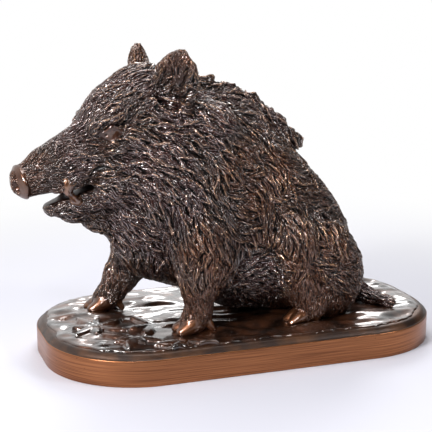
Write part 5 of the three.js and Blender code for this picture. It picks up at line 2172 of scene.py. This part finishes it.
@dataclass
class Studio:
    """A pale table under soft lamps, before a white backdrop, in an otherwise dark room.

    The camera stands at a distance in metres from its target. The table's sizes are in
    millimetres, but it fades to white over distances in metres from the piece.
    """

    azimuth: float = -19.561
    elevation: float = 12.425
    distance: float = 0.8247
    target: Vec3 = (-0.0155, 0.0, 0.09686)
    lens: float = 91.5
    sensor: float = 36.0
    table: str = "#bfbfc8"
    table_side: float = 8000.0
    table_gap: float = 0.05
    table_fade: tuple[float, float] = (0.15, 0.6)
    backdrop: Vec3 = (-0.25, 0.92, 0.3)
    backdrop_edge: tuple[float, float] = (0.2, 0.8)
    gloom: float = 0.015
    softboxes: tuple[Softbox, ...] = (
        Softbox("overhead", (0.0, 0.05, 0.95), 0.4, 7.0),
        Softbox("left_key", (-0.85, -0.5, 0.6), 0.24, 84.0),
        Softbox("front_key", (-0.45, -1.0, 0.85), 0.15, 52.0),
        Softbox("right_fill", (0.7, -0.65, 0.7), 0.2, 32.0),
        Softbox("back", (0.35, 0.8, 0.7), 0.45, 9.0),
    )

    def build_camera(self) -> Object:
        """Builds the camera."""
        turn, rise = math.radians(self.azimuth), math.radians(self.elevation)
        back = Vector(
            (math.sin(turn) * math.cos(rise), -math.cos(turn) * math.cos(rise), math.sin(rise))
        )
        data = bpy.data.cameras.new("camera")
        data.lens = self.lens
        data.sensor_width = self.sensor
        data.clip_start = 0.01
        camera = bpy.data.objects.new("camera", data)
        camera.location = Vector(self.target) + back * self.distance
        camera.rotation_euler = (-back).to_track_quat("-Z", "Y").to_euler()
        bpy.context.scene.collection.objects.link(camera)
        bpy.context.scene.camera = camera
        return camera

    def build_table(self) -> Object:
        """Builds the table: painted board that fades into the white beyond it."""
        square = np.array([(-1, -1, 0), (1, -1, 0), (1, 1, 0), (-1, 1, 0)])
        corners = square * self.table_side / 2 - (0, 0, self.table_gap)
        table = mesh_object("table", corners, np.array([[0, 1, 2, 3]]))
        material, tree = new_material("painted_table")
        place = tree.out("TexCoord", output="Object")
        away = tree.out("VectorMath", {0: place}, "Value", operation="LENGTH")
        fade = tree.out(
            "MapRange",
            {0: away, LOW: self.table_fade[0], HIGH: self.table_fade[1]},
            interpolation_type="SMOOTHSTEP",
        )
        paint = tree.out(
            "BsdfPrincipled",
            {"Base Color": linear(self.table), "Roughness": 0.6, "Specular IOR Level": 0.2},
        )
        white = tree.out("Emission", {"Color": (1, 1, 1, 1), "Strength": 1.0})
        mixed = tree.out("MixShader", {0: fade, 1: paint, 2: white})
        tree.add("OutputMaterial", {"Surface": mixed})
        table.data.materials.append(material)
        table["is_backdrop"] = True
        return table

    def build_surroundings(self) -> None:
        """Builds the room's light: a white backdrop, and dim towards the viewer."""
        world = bpy.data.worlds.new("room")
        world.use_nodes = True
        world.node_tree.nodes.clear()
        tree = Tree(world.node_tree.nodes, world.node_tree.links)
        place = tree.out("TexCoord", output="Generated")
        behind = tree.out(
            "VectorMath",
            {0: place, 1: self.backdrop},
            "Value",
            operation="DOT_PRODUCT",
        )
        low, high = self.backdrop_edge
        bright = tree.out(
            "MapRange",
            {0: behind, LOW: low, HIGH: high, TO_LOW: self.gloom},
            interpolation_type="SMOOTHSTEP",
        )
        seen = tree.out("LightPath", output="Is Camera Ray")
        lit = tree.out("Background", {"Color": (1, 1, 1, 1), "Strength": bright})
        white = tree.out("Background", {"Color": (1, 1, 1, 1), "Strength": 1.0})
        mixed = tree.out("MixShader", {0: seen, 1: lit, 2: white})
        tree.add("OutputWorld", {"Surface": mixed})
        bpy.context.scene.world = world

    def build(self) -> None:
        """Builds the camera, the table, the surroundings and the lamps."""
        self.build_camera()
        self.build_table()
        self.build_surroundings()
        for softbox in self.softboxes:
            softbox.build()
        bpy.context.scene.view_settings.view_transform = "Standard"


# ---- main


def report(name: str, piece: Object) -> None:
    """Logs a piece's triangles and size."""
    triangles = sum(len(face.vertices) - 2 for face in piece.data.polygons)
    size = ", ".join(f"{side / MM:.1f}" for side in piece.dimensions)
    log.info("%s: %d triangles, %s mm", name, triangles, size)


def write_sizes() -> None:
    """Rounds the solid model's box and the finished one's to lists of numbers in metres, but does
    not write them.
    """
    boxes = {"cad": CAD_BOX, "visual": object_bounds()}
    sizes = {name: [[round(v, 6) for v in corner] for corner in box] for name, box in boxes.items()}


def main() -> None:
    """Builds the studio, the plinth and the boar."""
    logging.basicConfig(level=logging.INFO, format="%(relativeCreated)6d ms %(message)s")
    Studio().build()
    plinth = Plinth()
    report("plinth", plinth.build())
    report("boar", Boar(plinth).build())
    bpy.context.view_layer.update()
    write_sizes()


if __name__ == "__main__":
    main()
